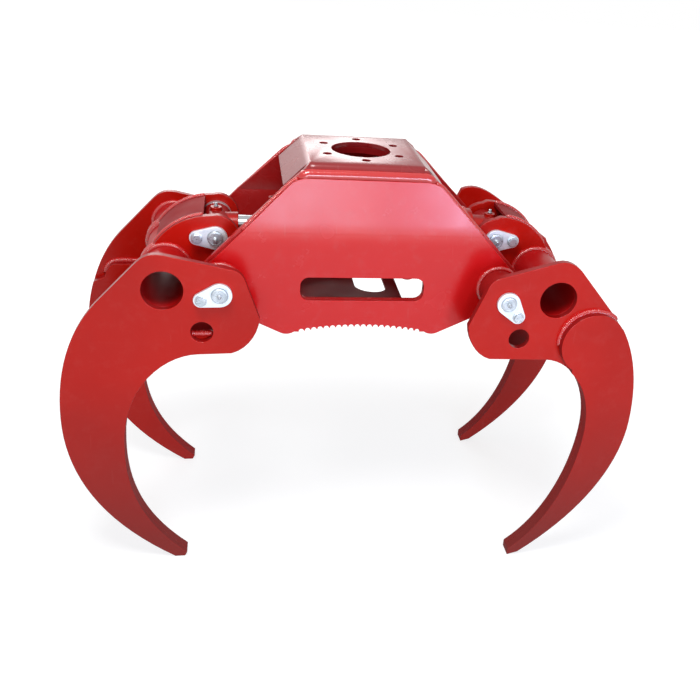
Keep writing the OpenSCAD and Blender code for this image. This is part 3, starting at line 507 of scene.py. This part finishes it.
SOFTBOXES = (
    Softbox("front_left_softbox", (0.02, -2.4, 0.88), (0.0, 0.0, 0.75), (0.64, 0.65), 15,
            (0.58, 0.80, 1.0)),
    Softbox("front_right_softbox", (0.88, -2.4, 0.90), (0.2, 0.0, 0.75), (0.50, 0.65), 20,
            (0.62, 0.70, 1.0)),
    Softbox("low_softbox", (0.0, -2.6, 0.33), (0.0, 0.0, 0.6), (2.4, 0.3), 6),
    Softbox("key_softbox", (-0.6, -1.0, 2.9), (0.0, 0.0, 0.5), (0.9, 0.9), 44),
    Softbox("back_softbox", (-0.52, 5.0, 2.35), (0.0, 0.0, 0.85), (3.0, 0.95), 51),
)


@dataclass
class Studio:
    """Floor, backdrop colour, softboxes and the camera of the photograph."""

    eye: Triple = (-0.2554, -1.7952, 1.3410)
    right: Triple = (0.98028, -0.17733, 0.08718)
    down: Triple = (0.00137, -0.43509, -0.90039)
    ahead: Triple = (0.1976, 0.88275, -0.42627)
    lens: float = 44.66
    sensor: float = 36.0
    shift: Pair = (-0.08877, -0.03492)
    sight: Pair = (0.05, 100.0)
    floor_half: float = 12.0
    floor_colour: Colour = (0.34, 0.34, 0.34, 1)
    glow_near: float = 0.76
    glow_reach: Pair = (0.55, 1.5)
    fill: float = 0.35

    def camera(self) -> None:
        """Places the camera where the photograph was taken from."""
        data = bpy.data.cameras.new("photo_camera")
        data.sensor_width, data.lens = self.sensor, self.lens
        data.shift_x, data.shift_y = self.shift
        data.clip_start, data.clip_end = self.sight
        camera = bpy.data.objects.new("photo_camera", data)
        axes = Matrix((self.right, [-v for v in self.down], [-v for v in self.ahead])).transposed()
        camera.matrix_world = Matrix.Translation(Vector(self.eye)) @ axes.to_4x4()
        bpy.context.scene.collection.objects.link(camera)
        bpy.context.scene.camera = camera

    def floor(self) -> None:
        """Lays a pale floor that shows white to the camera, and keeps a soft shadow near the tines."""
        n = Nodes(bpy.data.materials.new("studio_floor"))
        place = n.add("TexCoord").outputs["Object"]
        away = n.add("VectorMath", operation="LENGTH", _0=place).outputs["Value"]
        strength = n.spread(away, *self.glow_reach, self.glow_near, 1.0)
        plain = n.add("BsdfDiffuse", Color=self.floor_colour).outputs[0]
        glow = n.add("Emission", Color=WHITE, Strength=strength).outputs[0]
        both = n.add("AddShader", _0=plain, _1=glow).outputs[0]
        mixed = n.add("MixShader", _0=n.clear_rays(), _1=plain, _2=both).outputs[0]
        mesh = bpy.data.meshes.new("studio_floor")
        h = self.floor_half
        mesh.from_pydata([(-h, -h, 0), (h, -h, 0), (h, h, 0), (-h, h, 0)], [], [(0, 1, 2, 3)])
        mesh.materials.append(n.finish(mixed))
        floor = bpy.data.objects.new("studio_floor", mesh)
        bpy.context.scene.collection.objects.link(floor)

    def world(self) -> None:
        """Makes the world a soft fill that shows white to the camera and in reflections."""
        n = Nodes(bpy.data.worlds.new("studio_world"))
        fill = n.add("Background", Color=WHITE, Strength=self.fill).outputs[0]
        white = n.add("Background", Color=WHITE, Strength=1.0).outputs[0]
        mixed = n.add("MixShader", _0=n.clear_rays(), _1=fill, _2=white).outputs[0]
        bpy.context.scene.world = n.finish(mixed)

    def build(self) -> None:
        """Sets up the whole studio."""
        bpy.context.scene.view_settings.view_transform = "Standard"
        self.camera()
        self.floor()
        self.world()
        for softbox in SOFTBOXES:
            softbox.build()
        LOG.info("studio: camera, floor, world and %d lamps", len(SOFTBOXES))


# Surfaces


@dataclass
class Surface:
    """Points and faces of one closed surface."""

    points: Array
    faces: list[tuple[int, ...]]


def round_turn(count: int) -> Array:
    """Gives evenly spaced angles once round, in radians."""
    return np.linspace(0.0, 2 * math.pi, count, endpoint=False)


def unit_rows(rows: Array) -> Array:
    """Scales each row to a length of one."""
    return rows / np.linalg.norm(rows, axis=1, keepdims=True)


@dataclass(frozen=True)
class Bead:
    """Rippled weld bead, or a plain wire where the ripple is zero."""

    radius: float
    pitch: float = 0.0034
    ripple: float = 0.16
    lag: float = 0.3
    crest: float = math.radians(45)
    sides: int = 12
    step: float = 0.00085
    least_rings: int = 8
    seed: int = 7
    knots: int = 64
    drift_share: float = 0.6
    drift_limit: float = 0.1
    tip_share: float = 1.5
    tip_least: float = 0.004

    def radii(self, place: Array, total: float, turn: Array, closed: bool) -> Array:
        """Works out the bead's radius at each ring and angle.

        It is the bead's radius, times one plus half the ripple times a cosine of the length along the
        path. The cosine lags towards the two toes, which makes crescents. Slow noise varies the radius
        a little, and both ends of an open bead shrink to a tip like a quarter circle.

        Args:
            place: Length along the path at each ring.
            total: Length of the whole path.
            turn: Angles round the path.
            closed: Whether the path is a ring.

        Returns:
            The radii, with a row for each ring.
        """
        pitch = total / max(round(total / self.pitch), 1)
        late = self.lag * (1 - np.cos(turn - self.crest))
        wave = np.cos(2 * math.pi * (place[:, None] / pitch - late[None, :]))
        knots = np.random.default_rng(self.seed).uniform(-1.0, 1.0, self.knots)
        drift = np.interp(place, np.linspace(0.0, total, self.knots), knots)
        drift = drift * min(self.ripple, self.drift_limit) * self.drift_share
        radius = self.radius * (1 + self.ripple / 2 * wave + drift[:, None])
        if not closed:
            reach = self.radius * self.tip_share
            inside = np.clip(np.minimum(place, total - place) / reach, self.tip_least, 1.0)
            radius *= np.sqrt(1 - (1 - inside) ** 2)[:, None]
        return radius

    def along(self, path: Array, across: Triple, closed: bool = False) -> Surface:
        """Carries a circle of changing radius along a path, square to it.

        A point is the path's point, plus the radius times the cosine of its angle along the first
        direction, plus the radius times the sine along the second.

        Args:
            path: Points of the centre line.
            across: Direction that counts as zero degrees of the circle.
            closed: Whether the path is a ring.

        Returns:
            The bead's surface.
        """
        line = np.vstack([path, path[:1]]) if closed else path
        hops = np.linalg.norm(np.diff(line, axis=0), axis=1)
        length = np.concatenate([[0.0], np.cumsum(hops)])
        total = length[-1]
        count = max(int(total / self.step), self.least_rings)
        place = np.linspace(0.0, total, count, endpoint=not closed)
        centre = np.stack([np.interp(place, length, line[:, axis]) for axis in range(3)], axis=1)
        if closed:
            ahead = unit_rows(np.roll(centre, -1, axis=0) - np.roll(centre, 1, axis=0))
        else:
            ahead = unit_rows(np.gradient(centre, axis=0))
        aim = np.asarray(across, float)
        first = unit_rows(aim - ahead * (ahead @ aim)[:, None])
        second = np.cross(ahead, first)
        turn = round_turn(self.sides)
        radius = self.radii(place, total, turn, closed)
        ring = np.cos(turn)[None, :, None] * first[:, None] + np.sin(turn)[None, :, None] * second[:, None]
        points = (centre[:, None] + radius[..., None] * ring).reshape(-1, 3)
        return Surface(points, grid_faces(count, self.sides, closed))


def grid_faces(rows: int, sides: int, closed: bool) -> list[tuple[int, ...]]:
    """Joins rings of points into a tube, with a cap at each end of an open one.

    Args:
        rows: Number of rings.
        sides: Points of each ring.
        closed: Whether the last ring joins the first.

    Returns:
        The faces, facing outwards.
    """
    row = np.arange(rows if closed else rows - 1)[:, None]
    side = np.arange(sides)[None, :]
    after, beside = (row + 1) % rows, (side + 1) % sides
    quads = np.stack([row * sides + side, row * sides + beside, after * sides + beside,
                      after * sides + side], axis=-1).reshape(-1, 4)
    faces = [tuple(quad) for quad in quads.tolist()]
    if not closed:
        faces.append(tuple(range(sides - 1, -1, -1)))
        faces.append(tuple(range((rows - 1) * sides, rows * sides)))
    return faces


def lathe(profile: Array, centre: Array, out: int, sides: int = 48) -> Surface:
    """Turns a closed profile into a ring about an axis along Y.

    A point at radius r and height h goes to the centre, plus h along the axis, plus r along the
    direction that turns once about the axis.

    Args:
        profile: Pairs of radius and height, anticlockwise with the radius to the right.
        centre: Point on the axis at height zero.
        out: Sign of Y in which the height grows.
        sides: Number of steps round the axis.

    Returns:
        The ring's surface.
    """
    up = np.array([0.0, out, 0.0])
    flat = np.cross(up, (0.0, 0.0, 1.0))
    third = np.cross(up, flat)
    turn = round_turn(sides)
    around = np.cos(turn)[:, None] * flat + np.sin(turn)[:, None] * third
    points = centre + profile[None, :, 1, None] * up + profile[None, :, 0, None] * around[:, None]
    return Surface(points.reshape(-1, 3), grid_faces(sides, len(profile), True))


def ring_path(centre: Array, radius: float, axis: int = 1, count: int = 180) -> Array:
    """Gives a circle: the centre, plus the radius times the cosine and sine along the other two axes.

    Args:
        centre: Centre of the circle.
        radius: Its radius.
        axis: Number of the axis that it goes round.
        count: Number of points.

    Returns:
        The circle's points.
    """
    turn = round_turn(count)
    path = np.tile(np.asarray(centre, float), (count, 1))
    path[:, (axis + 1) % 3] += radius * np.cos(turn)
    path[:, (axis + 2) % 3] += radius * np.sin(turn)
    return path


def piece(name: str, parts: Iterable[Surface], body: Body, material: Material) -> None:
    """Makes one smooth mesh of some surfaces and lets it ride on a body.

    Args:
        name: The piece's name.
        parts: Its surfaces.
        body: The body that carries it.
        material: Its material.
    """
    points: list[Array] = []
    faces: list[tuple[int, ...]] = []
    start = 0
    for part in parts:
        points.append(part.points)
        faces += [tuple(index + start for index in face) for face in part.faces]
        start += len(part.points)
    mesh = bpy.data.meshes.new(name)
    mesh.from_pydata(np.vstack(points).tolist(), [], faces)
    mesh.shade_smooth()
    mesh.materials.append(material)
    made = bpy.data.objects.new(name, mesh)
    bpy.context.scene.collection.objects.link(made)
    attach(made, body.value)
    LOG.info("%s: %d faces", name, len(faces))


# Welds and small parts


@dataclass
class BodyWelds:
    """Beads of the bent body: doublers, collars, belly plate and backing plate."""

    paint: Material
    leg_half: float = 0.145
    leg_top_half: float = 0.127
    bend: float = 0.016
    plate_t: float = 0.010
    crease_half: float = 0.247
    doubler_t: float = 0.010
    doubler_drop: float = 0.027
    corner: float = 0.024
    corner_steps: int = 24
    collar_r: float = 0.040
    boss_r: float = 0.033
    bead_lift: float = 0.006
    bead_sink: float = 0.0008
    bead_facing: Pair = (0.99, 0.15)
    bead_lap: int = 2
    collar_gap: float = 0.001
    belly_gap: float = 0.006
    belly_sag_share: float = 0.75
    belly_steps: int = 60
    backing_steps: int = 40
    top_bead: Bead = Bead(0.0112, 0.0060, 0.012)
    side_beads: tuple[Bead, Bead] = (Bead(0.0052, seed=3), Bead(0.0052, seed=4))
    collar_bead: Bead = Bead(0.0064, seed=5)
    boss_bead: Bead = Bead(0.004, seed=6)
    belly_bead: Bead = Bead(0.004, seed=8)
    backing_bead: Bead = Bead(0.0045, seed=9)

    def leg_y(self, drop: Array) -> Array:
        """Gives the leg's outer face: a straight slope from under the bend to the crease."""
        share = (drop - self.bend) / (CREASE_DROP - self.bend)
        return self.leg_top_half + (self.leg_half - self.leg_top_half) * np.minimum(share, 1.0)

    def doubler_edge(self) -> Array:
        """Follows the doubler's edge on the leg, from one crease end over the top to the other.

        The half outline is a straight side, a corner and half of the straight top. The corner is the
        sum of its start, its point and its end, weighted by the square of what is left of the share,
        twice the product of both, and the square of the share. The other half is its mirror image.

        Returns:
            Points of X, Y at the near leg, and Z.
        """
        rise = CREASE_DROP - self.doubler_drop
        wide = TOP_HALF + self.doubler_drop * (self.crease_half - TOP_HALF) / CREASE_DROP
        lean = np.array([self.crease_half - wide, -rise]) / math.hypot(self.crease_half - wide, rise)
        low = np.array([self.crease_half, -CREASE_DROP])
        top = np.array([wide, -self.doubler_drop])
        start, end = top + lean * self.corner, top - np.array([self.corner, 0.0])
        share = np.linspace(0.0, 1.0, self.corner_steps)[:, None]
        curve = (1 - share) ** 2 * start + 2 * share * (1 - share) * top + share ** 2 * end
        half = np.vstack([low + (start - low) * share[:-1], curve, [[0.0, -self.doubler_drop]]])
        both = np.vstack([half, half[-2::-1] * (-1, 1)])
        return np.column_stack([both[:, 0], self.bead_sink - self.leg_y(-both[:, 1]), TOP + both[:, 1]])

    def doublers(self) -> None:
        """Lays a large bead over each doubler's top edge and corners, and a small one down its sides."""
        edge = self.doubler_edge()
        inner = np.abs(edge[:, 0]) < TOP_HALF + self.corner
        ends = np.flatnonzero(inner)
        crown = edge[inner]
        near_end = (TOP_HALF + self.corner - np.abs(crown[:, 0])) / self.corner
        crown[:, 2] += self.bead_lift * np.clip(near_end, 0.0, 1.0)
        sides = edge[:ends[0] + self.bead_lap], edge[ends[-1] + 1 - self.bead_lap:]
        out, up = self.bead_facing
        for name, sign in (("front", 1), ("rear", -1)):
            flip = np.array([1, sign, 1])
            across = (0.0, -sign * out, up)
            parts = [self.top_bead.along(crown * flip, across)]
            parts += [bead.along(side * flip, across) for bead, side in zip(self.side_beads, sides)]
            piece(f"{name}_doubler_beads", parts, Body.BODY, self.paint)

    def collars(self) -> None:
        """Lays a ring round each collar where it meets the doubler, and round each inner boss."""
        face = self.leg_half + self.doubler_t
        inside = self.leg_half - self.plate_t
        parts = []
        for joint in ("left_arm_turn", "right_arm_turn"):
            x, _, z = JOINT_AT[joint]
            for sign in (-1, 1):
                ring = ring_path(np.array([x, sign * face, z]), self.collar_r + self.collar_gap)
                parts.append(self.collar_bead.along(ring, (0, sign, 0), True))
                ring = ring_path(np.array([x, sign * inside, z]), self.boss_r)
                parts.append(self.boss_bead.along(ring, (0, -sign, 0), True))
        piece("collar_beads", parts, Body.BODY, self.paint)

    def belly(self) -> None:
        """Lays beads along the belly plate's two long edges, on its upper side.

        The height falls from the plate's crown with the square of the distance from the middle.
        """
        low, high = (np.array(corner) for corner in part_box("belly_plate"))
        half = self.leg_half - self.plate_t
        x = np.linspace(low[0] + self.belly_gap, high[0] - self.belly_gap, self.belly_steps)
        sag = (high[2] - low[2]) * self.belly_sag_share
        z = high[2] - sag * (x / max(-low[0], high[0])) ** 2
        parts = [self.belly_bead.along(np.column_stack([x, np.full(len(x), sign * half), z]), (0, 0, 1))
                 for sign in (-1, 1)]
        piece("belly_beads", parts, Body.BODY, self.paint)

    def backing(self) -> None:
        """Lays a bead round the backing plate under the top."""
        low, high = (np.array(corner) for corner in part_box("top_backing_plate"))
        corners = [(low[0], low[1]), (high[0], low[1]), (high[0], high[1]), (low[0], high[1])]
        starts = np.array([(x, y, high[2]) for x, y in corners])
        share = np.linspace(0, 1, self.backing_steps)[:-1, None]
        path = np.vstack([start + (end - start) * share
                          for start, end in zip(starts, np.roll(starts, -1, axis=0))])
        bead = self.backing_bead.along(path, (0, 0, -1), True)
        piece("backing_bead", (bead,), Body.BODY, self.paint)

    def build(self) -> None:
        """Lays all beads of the body."""
        self.doublers()
        self.collars()
        self.belly()
        self.backing()


@dataclass(frozen=True)
class Arm:
    """What differs between the arms.

    These are the side and body, the joint on the lug pin, the middle and radius of the lugs' round
    back from the pivot, and the lean of the pivot flags in degrees, seen from the near side.
    """

    side: Side
    body: Body
    lug_joint: str
    back_at: Pair
    back_r: float
    flag_lean: float

    @property
    def name(self) -> str:
        """Gives the arm's name."""
        return self.side.name.lower()

    @property
    def pivot(self) -> Array:
        """Gives the place of the arm's pivot."""
        return JOINT_AT[f"{self.name}_arm_turn"]


ARMS = (Arm(Side.LEFT, Body.LEFT, "rod_turn", (0.0175, -0.017), 0.135, -16.0),
        Arm(Side.RIGHT, Body.RIGHT, "barrel_turn", (0.017, -0.004), 0.129, -51.0))


@dataclass
class ArmWelds:
    """Beads of one arm: torque tube, lugs, cover, blades and throat plate."""

    arm: Arm
    paint: Material
    side_t: float = 0.015
    bead_gap: float = 0.0005
    cover_arc: Pair = (31.0, 83.0)
    cover_steps: int = 80
    blade_flat: Triple = (-0.004, 0.234, -0.092)
    blade_gap: float = 0.016
    blade_lift: float = 0.001
    blade_corner: float = 0.022
    blade_corner_shares: tuple[Pair, ...] = ((0.0, 0.0), (1.0, 0.0), (1.5, -0.5), (1.6, -1.5))
    flat_steps: int = 60
    corner_steps: int = 24
    blade_round: Triple = (0.195, -0.088, 0.070)
    round_arc: Pair = (44.0, 188.0)
    round_steps: int = 90
    throat_gap: float = 0.004
    throat_steps: int = 30
    tube_bead: Bead = Bead(0.0068)
    cover_bead: Bead = Bead(0.0046, seed=11)
    flat_bead: Bead = Bead(0.0068, 0.0042, 0.18, seed=13)
    round_bead: Bead = Bead(0.0068, 0.0040, 0.16, seed=14)
    throat_bead: Bead = Bead(0.004, seed=15)

    def place(self, outline: Array, y: float) -> Array:
        """Moves points of the arm's own plane to the grapple.

        Args:
            outline: Pairs of the distance outward and upward from the pivot.
            y: Place of the plane.

        Returns:
            The points.
        """
        x0, _, z0 = self.arm.pivot
        x = x0 + self.arm.side.value * outline[:, 0]
        return np.column_stack([x, np.full(len(x), y), z0 + outline[:, 1]])

    def lay(self, what: str, parts: Iterable[Surface]) -> None:
        """Makes one piece of the beads that belong to one part of the arm."""
        piece(f"{self.arm.name}_{what}_beads", parts, self.arm.body, self.paint)

    def tube(self) -> None:
        """Lays a ring at each plate and lug round the torque tube."""
        low, high = (np.array(corner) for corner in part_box(f"{self.arm.name}_torque_tube"))
        centre, radius = (low + high) / 2, (high[2] - low[2]) / 2
        faces = [(high[1], -1), (low[1], 1)]
        for lug in ("near", "far"):
            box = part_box(f"{self.arm.name}_{lug}_lug")
            faces += [(box[0][1], -1), (box[1][1], 1)]
        parts = []
        for number, (y, sign) in enumerate(faces):
            path = ring_path(np.array([centre[0], y, centre[2]]), radius + self.bead_gap)
            parts.append(replace(self.tube_bead, seed=number).along(path, (0, sign, 0), True))
        self.lay("tube", parts)

    def cover(self) -> None:
        """Lays a bead along each side of the cover plate, on the round backs of the lugs."""
        turn = np.linspace(*np.radians(self.cover_arc), self.cover_steps)
        around = np.column_stack([np.cos(turn), np.sin(turn)])
        outline = self.arm.back_at + (self.arm.back_r - self.bead_gap) * around
        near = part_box(f"{self.arm.name}_near_lug")[1][1]
        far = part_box(f"{self.arm.name}_far_lug")[0][1]
        self.lay("cover", [self.cover_bead.along(self.place(outline, y), (0, 1, 0)) for y in (near, far)])

    def flat_end(self) -> Array:
        """Follows the upper end of a left blade: a straight line and a cubic curve.

        The curve is the sum of four points weighted by the powers of the share and of what is left
        of it.

        Returns:
            Pairs of the distance outward and upward from the pivot.
        """
        start, end, top = self.blade_flat
        x = np.linspace(start + self.blade_gap, end, self.flat_steps)
        flat = np.column_stack([x, np.full(len(x), top)])
        pulls = (end, top) + self.blade_corner * np.array(self.blade_corner_shares)
        t = np.linspace(0.0, 1.0, self.corner_steps)[1:, None]
        curve = ((1 - t) ** 3 * pulls[0] + 3 * (1 - t) ** 2 * t * pulls[1]
                 + 3 * (1 - t) * t ** 2 * pulls[2] + t ** 3 * pulls[3])
        return np.vstack([flat, curve]) + (0.0, self.blade_lift)

    def round_end(self) -> Array:
        """Follows the upper end of a right blade: its centre, plus radius times cosine and sine.

        Returns:
            Pairs of the distance outward and upward from the pivot.
        """
        out, up, radius = self.blade_round
        turn = np.radians(np.linspace(*self.round_arc, self.round_steps))
        return np.column_stack([out + radius * np.cos(turn), up + radius * np.sin(turn)])

    def blades(self) -> None:
        """Lays a bead along each blade's upper end, where it meets its side plate."""
        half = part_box(f"{self.arm.name}_rear_plate")[1][1]
        if self.arm.side is Side.LEFT:
            outline, bead, y = self.flat_end(), self.flat_bead, half - self.side_t
        else:
            outline, bead, y = self.round_end(), self.round_bead, half
        self.lay("blade", [bead.along(self.place(outline, sign * y), (0, sign, 0)) for sign in (-1, 1)])

    def throat(self) -> None:
        """Lays a bead along each end of the throat plate, on its upper side."""
        low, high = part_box(f"{self.arm.name}_throat_plate")
        x = np.linspace(low[0] + self.throat_gap, high[0] - self.throat_gap, self.throat_steps)
        paths = [np.column_stack([x, np.full(len(x), y), np.full(len(x), high[2])])
                 for y in (low[1], high[1])]
        self.lay("throat", [self.throat_bead.along(path, (0, 0, 1)) for path in paths])

    def build(self) -> None:
        """Lays all beads of the arm."""
        self.tube()
        self.cover()
        self.blades()
        self.throat()


@dataclass
class CylinderDetail:
    """Beads and port threads of the cylinder."""

    paint: Material
    iron: Material
    port_r: float = 0.0135
    port_steps: int = 120
    thread_r: float = 0.008
    thread_pitch: float = 0.0015
    thread_turns: float = 9.0
    thread_gap: float = 0.001
    thread_steps: int = 420
    base_bead: Bead = Bead(0.0045, seed=20)
    port_bead: Bead = Bead(0.0028, 0.0026, seed=21)
    thread_wire: Bead = Bead(0.0005, ripple=0.0, sides=6, step=0.0016)

    def saddle_ring(self, x: float, tube_r: float) -> Array:
        """Gives the curve where an upright round boss meets the level barrel.

        X and Y run round the boss, and Z is the square root of the barrel's radius squared less Y
        squared, over the barrel's axis.

        Args:
            x: Place of the boss along the barrel.
            tube_r: Radius of the barrel.

        Returns:
            The curve's points.
        """
        turn = round_turn(self.port_steps)
        y = self.port_r * np.sin(turn)
        z = JOINT_AT["barrel_turn"][2] + np.sqrt(tube_r ** 2 - y ** 2)
        return np.column_stack([x + self.port_r * np.cos(turn), y, z])

    def helix(self, x: float, top: float) -> Array:
        """Gives the thread of one port, which goes round at one radius and down by its pitch.

        Args:
            x: Place of the port along the barrel.
            top: Height of the port's face.

        Returns:
            The helix's points.
        """
        turn = np.linspace(0.0, 2 * math.pi * self.thread_turns, self.thread_steps)
        z = top - self.thread_gap - self.thread_pitch * turn / (2 * math.pi)
        return np.column_stack([x + self.thread_r * np.cos(turn), self.thread_r * np.sin(turn), z])

    def build(self) -> None:
        """Lays the barrel's beads and cuts the look of a thread into both ports."""
        tube, gland, ports = (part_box(name) for name in ("barrel_tube", "gland", "hose_ports"))
        end = np.array([tube[1][0], 0, JOINT_AT["barrel_turn"][2]])
        beads = [self.base_bead.along(ring_path(end, tube[1][1], axis=0), (1, 0, 0), True)]
        threads = []
        for x, box in ((ports[0][0] + self.port_r, gland), (ports[1][0] - self.port_r, tube)):
            beads.append(self.port_bead.along(self.saddle_ring(x, box[1][1]), (0, 0, 1), True))
            threads.append(self.thread_wire.along(self.helix(x, ports[1][2]), (0, 0, 1)))
        piece("cylinder_beads", beads, Body.BARREL, self.paint)
        piece("port_threads", threads, Body.BARREL, self.iron)


@dataclass
class PinDetail:
    """Washers under the flag bolts and turned rings on the pin ends."""

    steel: Material
    bolt_reach: float = 0.037
    bolt_r: float = 0.006
    flag_t: float = 0.008
    spigot_h: float = 0.003
    washer_r: float = 0.0118
    washer_t: float = 0.0018
    washer_edge_share: float = 0.35
    ring_r: float = 0.0125
    ring_half: float = 0.0011
    ring_h: float = 0.0007
    ring_sides: int = 12

    def washer(self, centre: Array, out: int) -> Surface:
        """Turns a washer with a chamfered rim, sunk a little into its flag.

        Args:
            centre: Middle of the flag's face round the bolt.
            out: Sign of Y that points away from the flag.

        Returns:
            The washer's surface.
        """
        edge = self.washer_t * self.washer_edge_share
        inner, outer, top = self.bolt_r, self.washer_r, self.washer_t
        profile = np.array([(inner, -edge), (outer, -edge), (outer, top - edge), (outer - edge, top),
                            (inner, top)])
        return lathe(profile, centre, out)

    def ring(self, centre: Array, out: int) -> Surface:
        """Turns a low ring of oval section on the end of a pin.

        Args:
            centre: Middle of the pin's end.
            out: Sign of Y that points away from the pin.

        Returns:
            The ring's surface.
        """
        turn = round_turn(self.ring_sides)
        profile = np.column_stack([self.ring_r + self.ring_half * np.cos(turn), self.ring_h * np.sin(turn)])
        return lathe(profile, centre, out)

    def build(self, arm: Arm) -> None:
        """Fits the three pins of one arm.

        Args:
            arm: The arm.
        """
        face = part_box(f"{arm.name}_rear_plate")[1][1]
        lug_face = -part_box(f"{arm.name}_near_lug")[0][1]
        lug = JOINT_AT[arm.lug_joint]
        parts = []
        for pin, pin_face, out, degrees in ((arm.pivot, face, -1, arm.flag_lean),
                                            (arm.pivot, face, 1, arm.flag_lean),
                                            (lug, lug_face, -1, 0.0)):
            y = out * (pin_face + self.flag_t)
            lean = math.radians(degrees)
            bolt = np.array([pin[0] + arm.side.value * self.bolt_reach * math.cos(lean), y,
                             pin[2] + self.bolt_reach * math.sin(lean)])
            parts.append(self.washer(bolt, out))
            parts.append(self.ring(np.array([pin[0], y + out * self.spigot_h, pin[2]]), out))
        piece(f"{arm.name}_pin_rings", parts, arm.body, self.steel)


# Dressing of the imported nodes


def shade_group(name: str, low: float, high: float) -> bpy.types.NodeTree:
    """Makes a node group that smooths the shading over edges between two angles.

    Args:
        name: The group's name.
        low: Angle below which an edge stays sharp.
        high: Angle above which an edge stays sharp.

    Returns:
        The group.
    """
    tree = bpy.data.node_groups.new(name, "GeometryNodeTree")
    for in_out in ("INPUT", "OUTPUT"):
        tree.interface.new_socket("Geometry", in_out=in_out, socket_type="NodeSocketGeometry")
    n = Nodes(tree)
    mesh = n.add("NodeGroupInput").outputs[0]
    angle = n.add("GeometryNodeInputMeshEdgeAngle").outputs["Unsigned Angle"]
    between = n.math("COMPARE", angle, (low + high) / 2, (high - low) / 2)
    sharp = n.add("FunctionNodeBooleanMath", operation="NOT", _0=between).outputs[0]
    smooth = n.add("GeometryNodeSetShadeSmooth", domain="FACE", Geometry=mesh, Shade_Smooth=True)
    edged = n.add("GeometryNodeSetShadeSmooth", domain="EDGE", Geometry=smooth.outputs[0], Selection=sharp,
                  Shade_Smooth=False)
    n.add("NodeGroupOutput", _0=edged.outputs[0])
    return tree


@dataclass
class Dresser:
    """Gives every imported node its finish."""

    toothed: tuple[str, ...] = ("front_doubler", "rear_doubler")
    creased: tuple[str, ...] = ("front_doubler", "rear_doubler", "front_leg", "rear_leg")
    crease_angle: float = math.radians(10)
    smooth_angle: float = math.radians(30)
    merge: float = 0.00001
    flat_angle: float = math.radians(0.4)
    edge_round: float = 0.0012
    tooth_round: float = 0.0006
    edge_angle: float = math.radians(38)
    edge_steps: int = 2

    def soften(self, node: bpy.types.Object, group: bpy.types.NodeTree, width: float) -> None:
        """Joins the node's loose triangles, makes its flats whole and rounds its sharp edges a little.

        Args:
            node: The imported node.
            group: The group that smooths its shading.
            width: Width of the rounded edges.
        """
        weld = node.modifiers.new("weld", "WELD")
        weld.merge_threshold = self.merge
        flat = node.modifiers.new("whole_flats", "DECIMATE")
        flat.decimate_type, flat.angle_limit = "DISSOLVE", self.flat_angle
        smooth = node.modifiers.new("soft_edges", "NODES")
        smooth.node_group = group
        bevel = node.modifiers.new("round_edges", "BEVEL")
        bevel.width, bevel.segments = width, self.edge_steps
        bevel.limit_method, bevel.angle_limit = "ANGLE", self.edge_angle
        bevel.use_clamp_overlap, bevel.harden_normals = False, True

    def build(self) -> dict[Slot, Material]:
        """Puts a material on each node and softens it.

        Returns:
            The material of each slot.
        """
        made = {slot: finish.build() for slot, finish in FINISHES.items()}
        slots = {part["node"]: Slot(part["material_slot"]) for part in frame["record"]["subparts"]}
        paints: dict[Enamel, Material] = {}
        soft = shade_group("soft_edges", 0.0, self.smooth_angle)
        crisp = shade_group("soft_edges_but_creases", self.crease_angle, self.smooth_angle)
        for name, node in frame["nodes"].items():
            paint = NODE_PAINTS.get(name)
            if paint is not None and paint not in paints:
                paints[paint] = paint.build()
            node.data.materials.clear()
            node.data.materials.append(made[slots[name]] if paint is None else paints[paint])
            self.soften(node, crisp if name in self.creased else soft,
                        self.tooth_round if name in self.toothed else self.edge_round)
        LOG.info("dresser: %d nodes in %d finishes", len(frame["nodes"]), len(made) + len(paints))
        return made


def main() -> None:
    """Builds the studio and dresses the grapple."""
    Studio().build()
    made = Dresser().build()
    bead_paint = BEAD_PAINT.build()
    BodyWelds(bead_paint).build()
    for arm in ARMS:
        ArmWelds(arm, bead_paint).build()
    CylinderDetail(bead_paint, made[Slot.DARK]).build()
    pins = PinDetail(made[Slot.STEEL])
    for arm in ARMS:
        pins.build(arm)


if __name__ == "__main__":
    main()
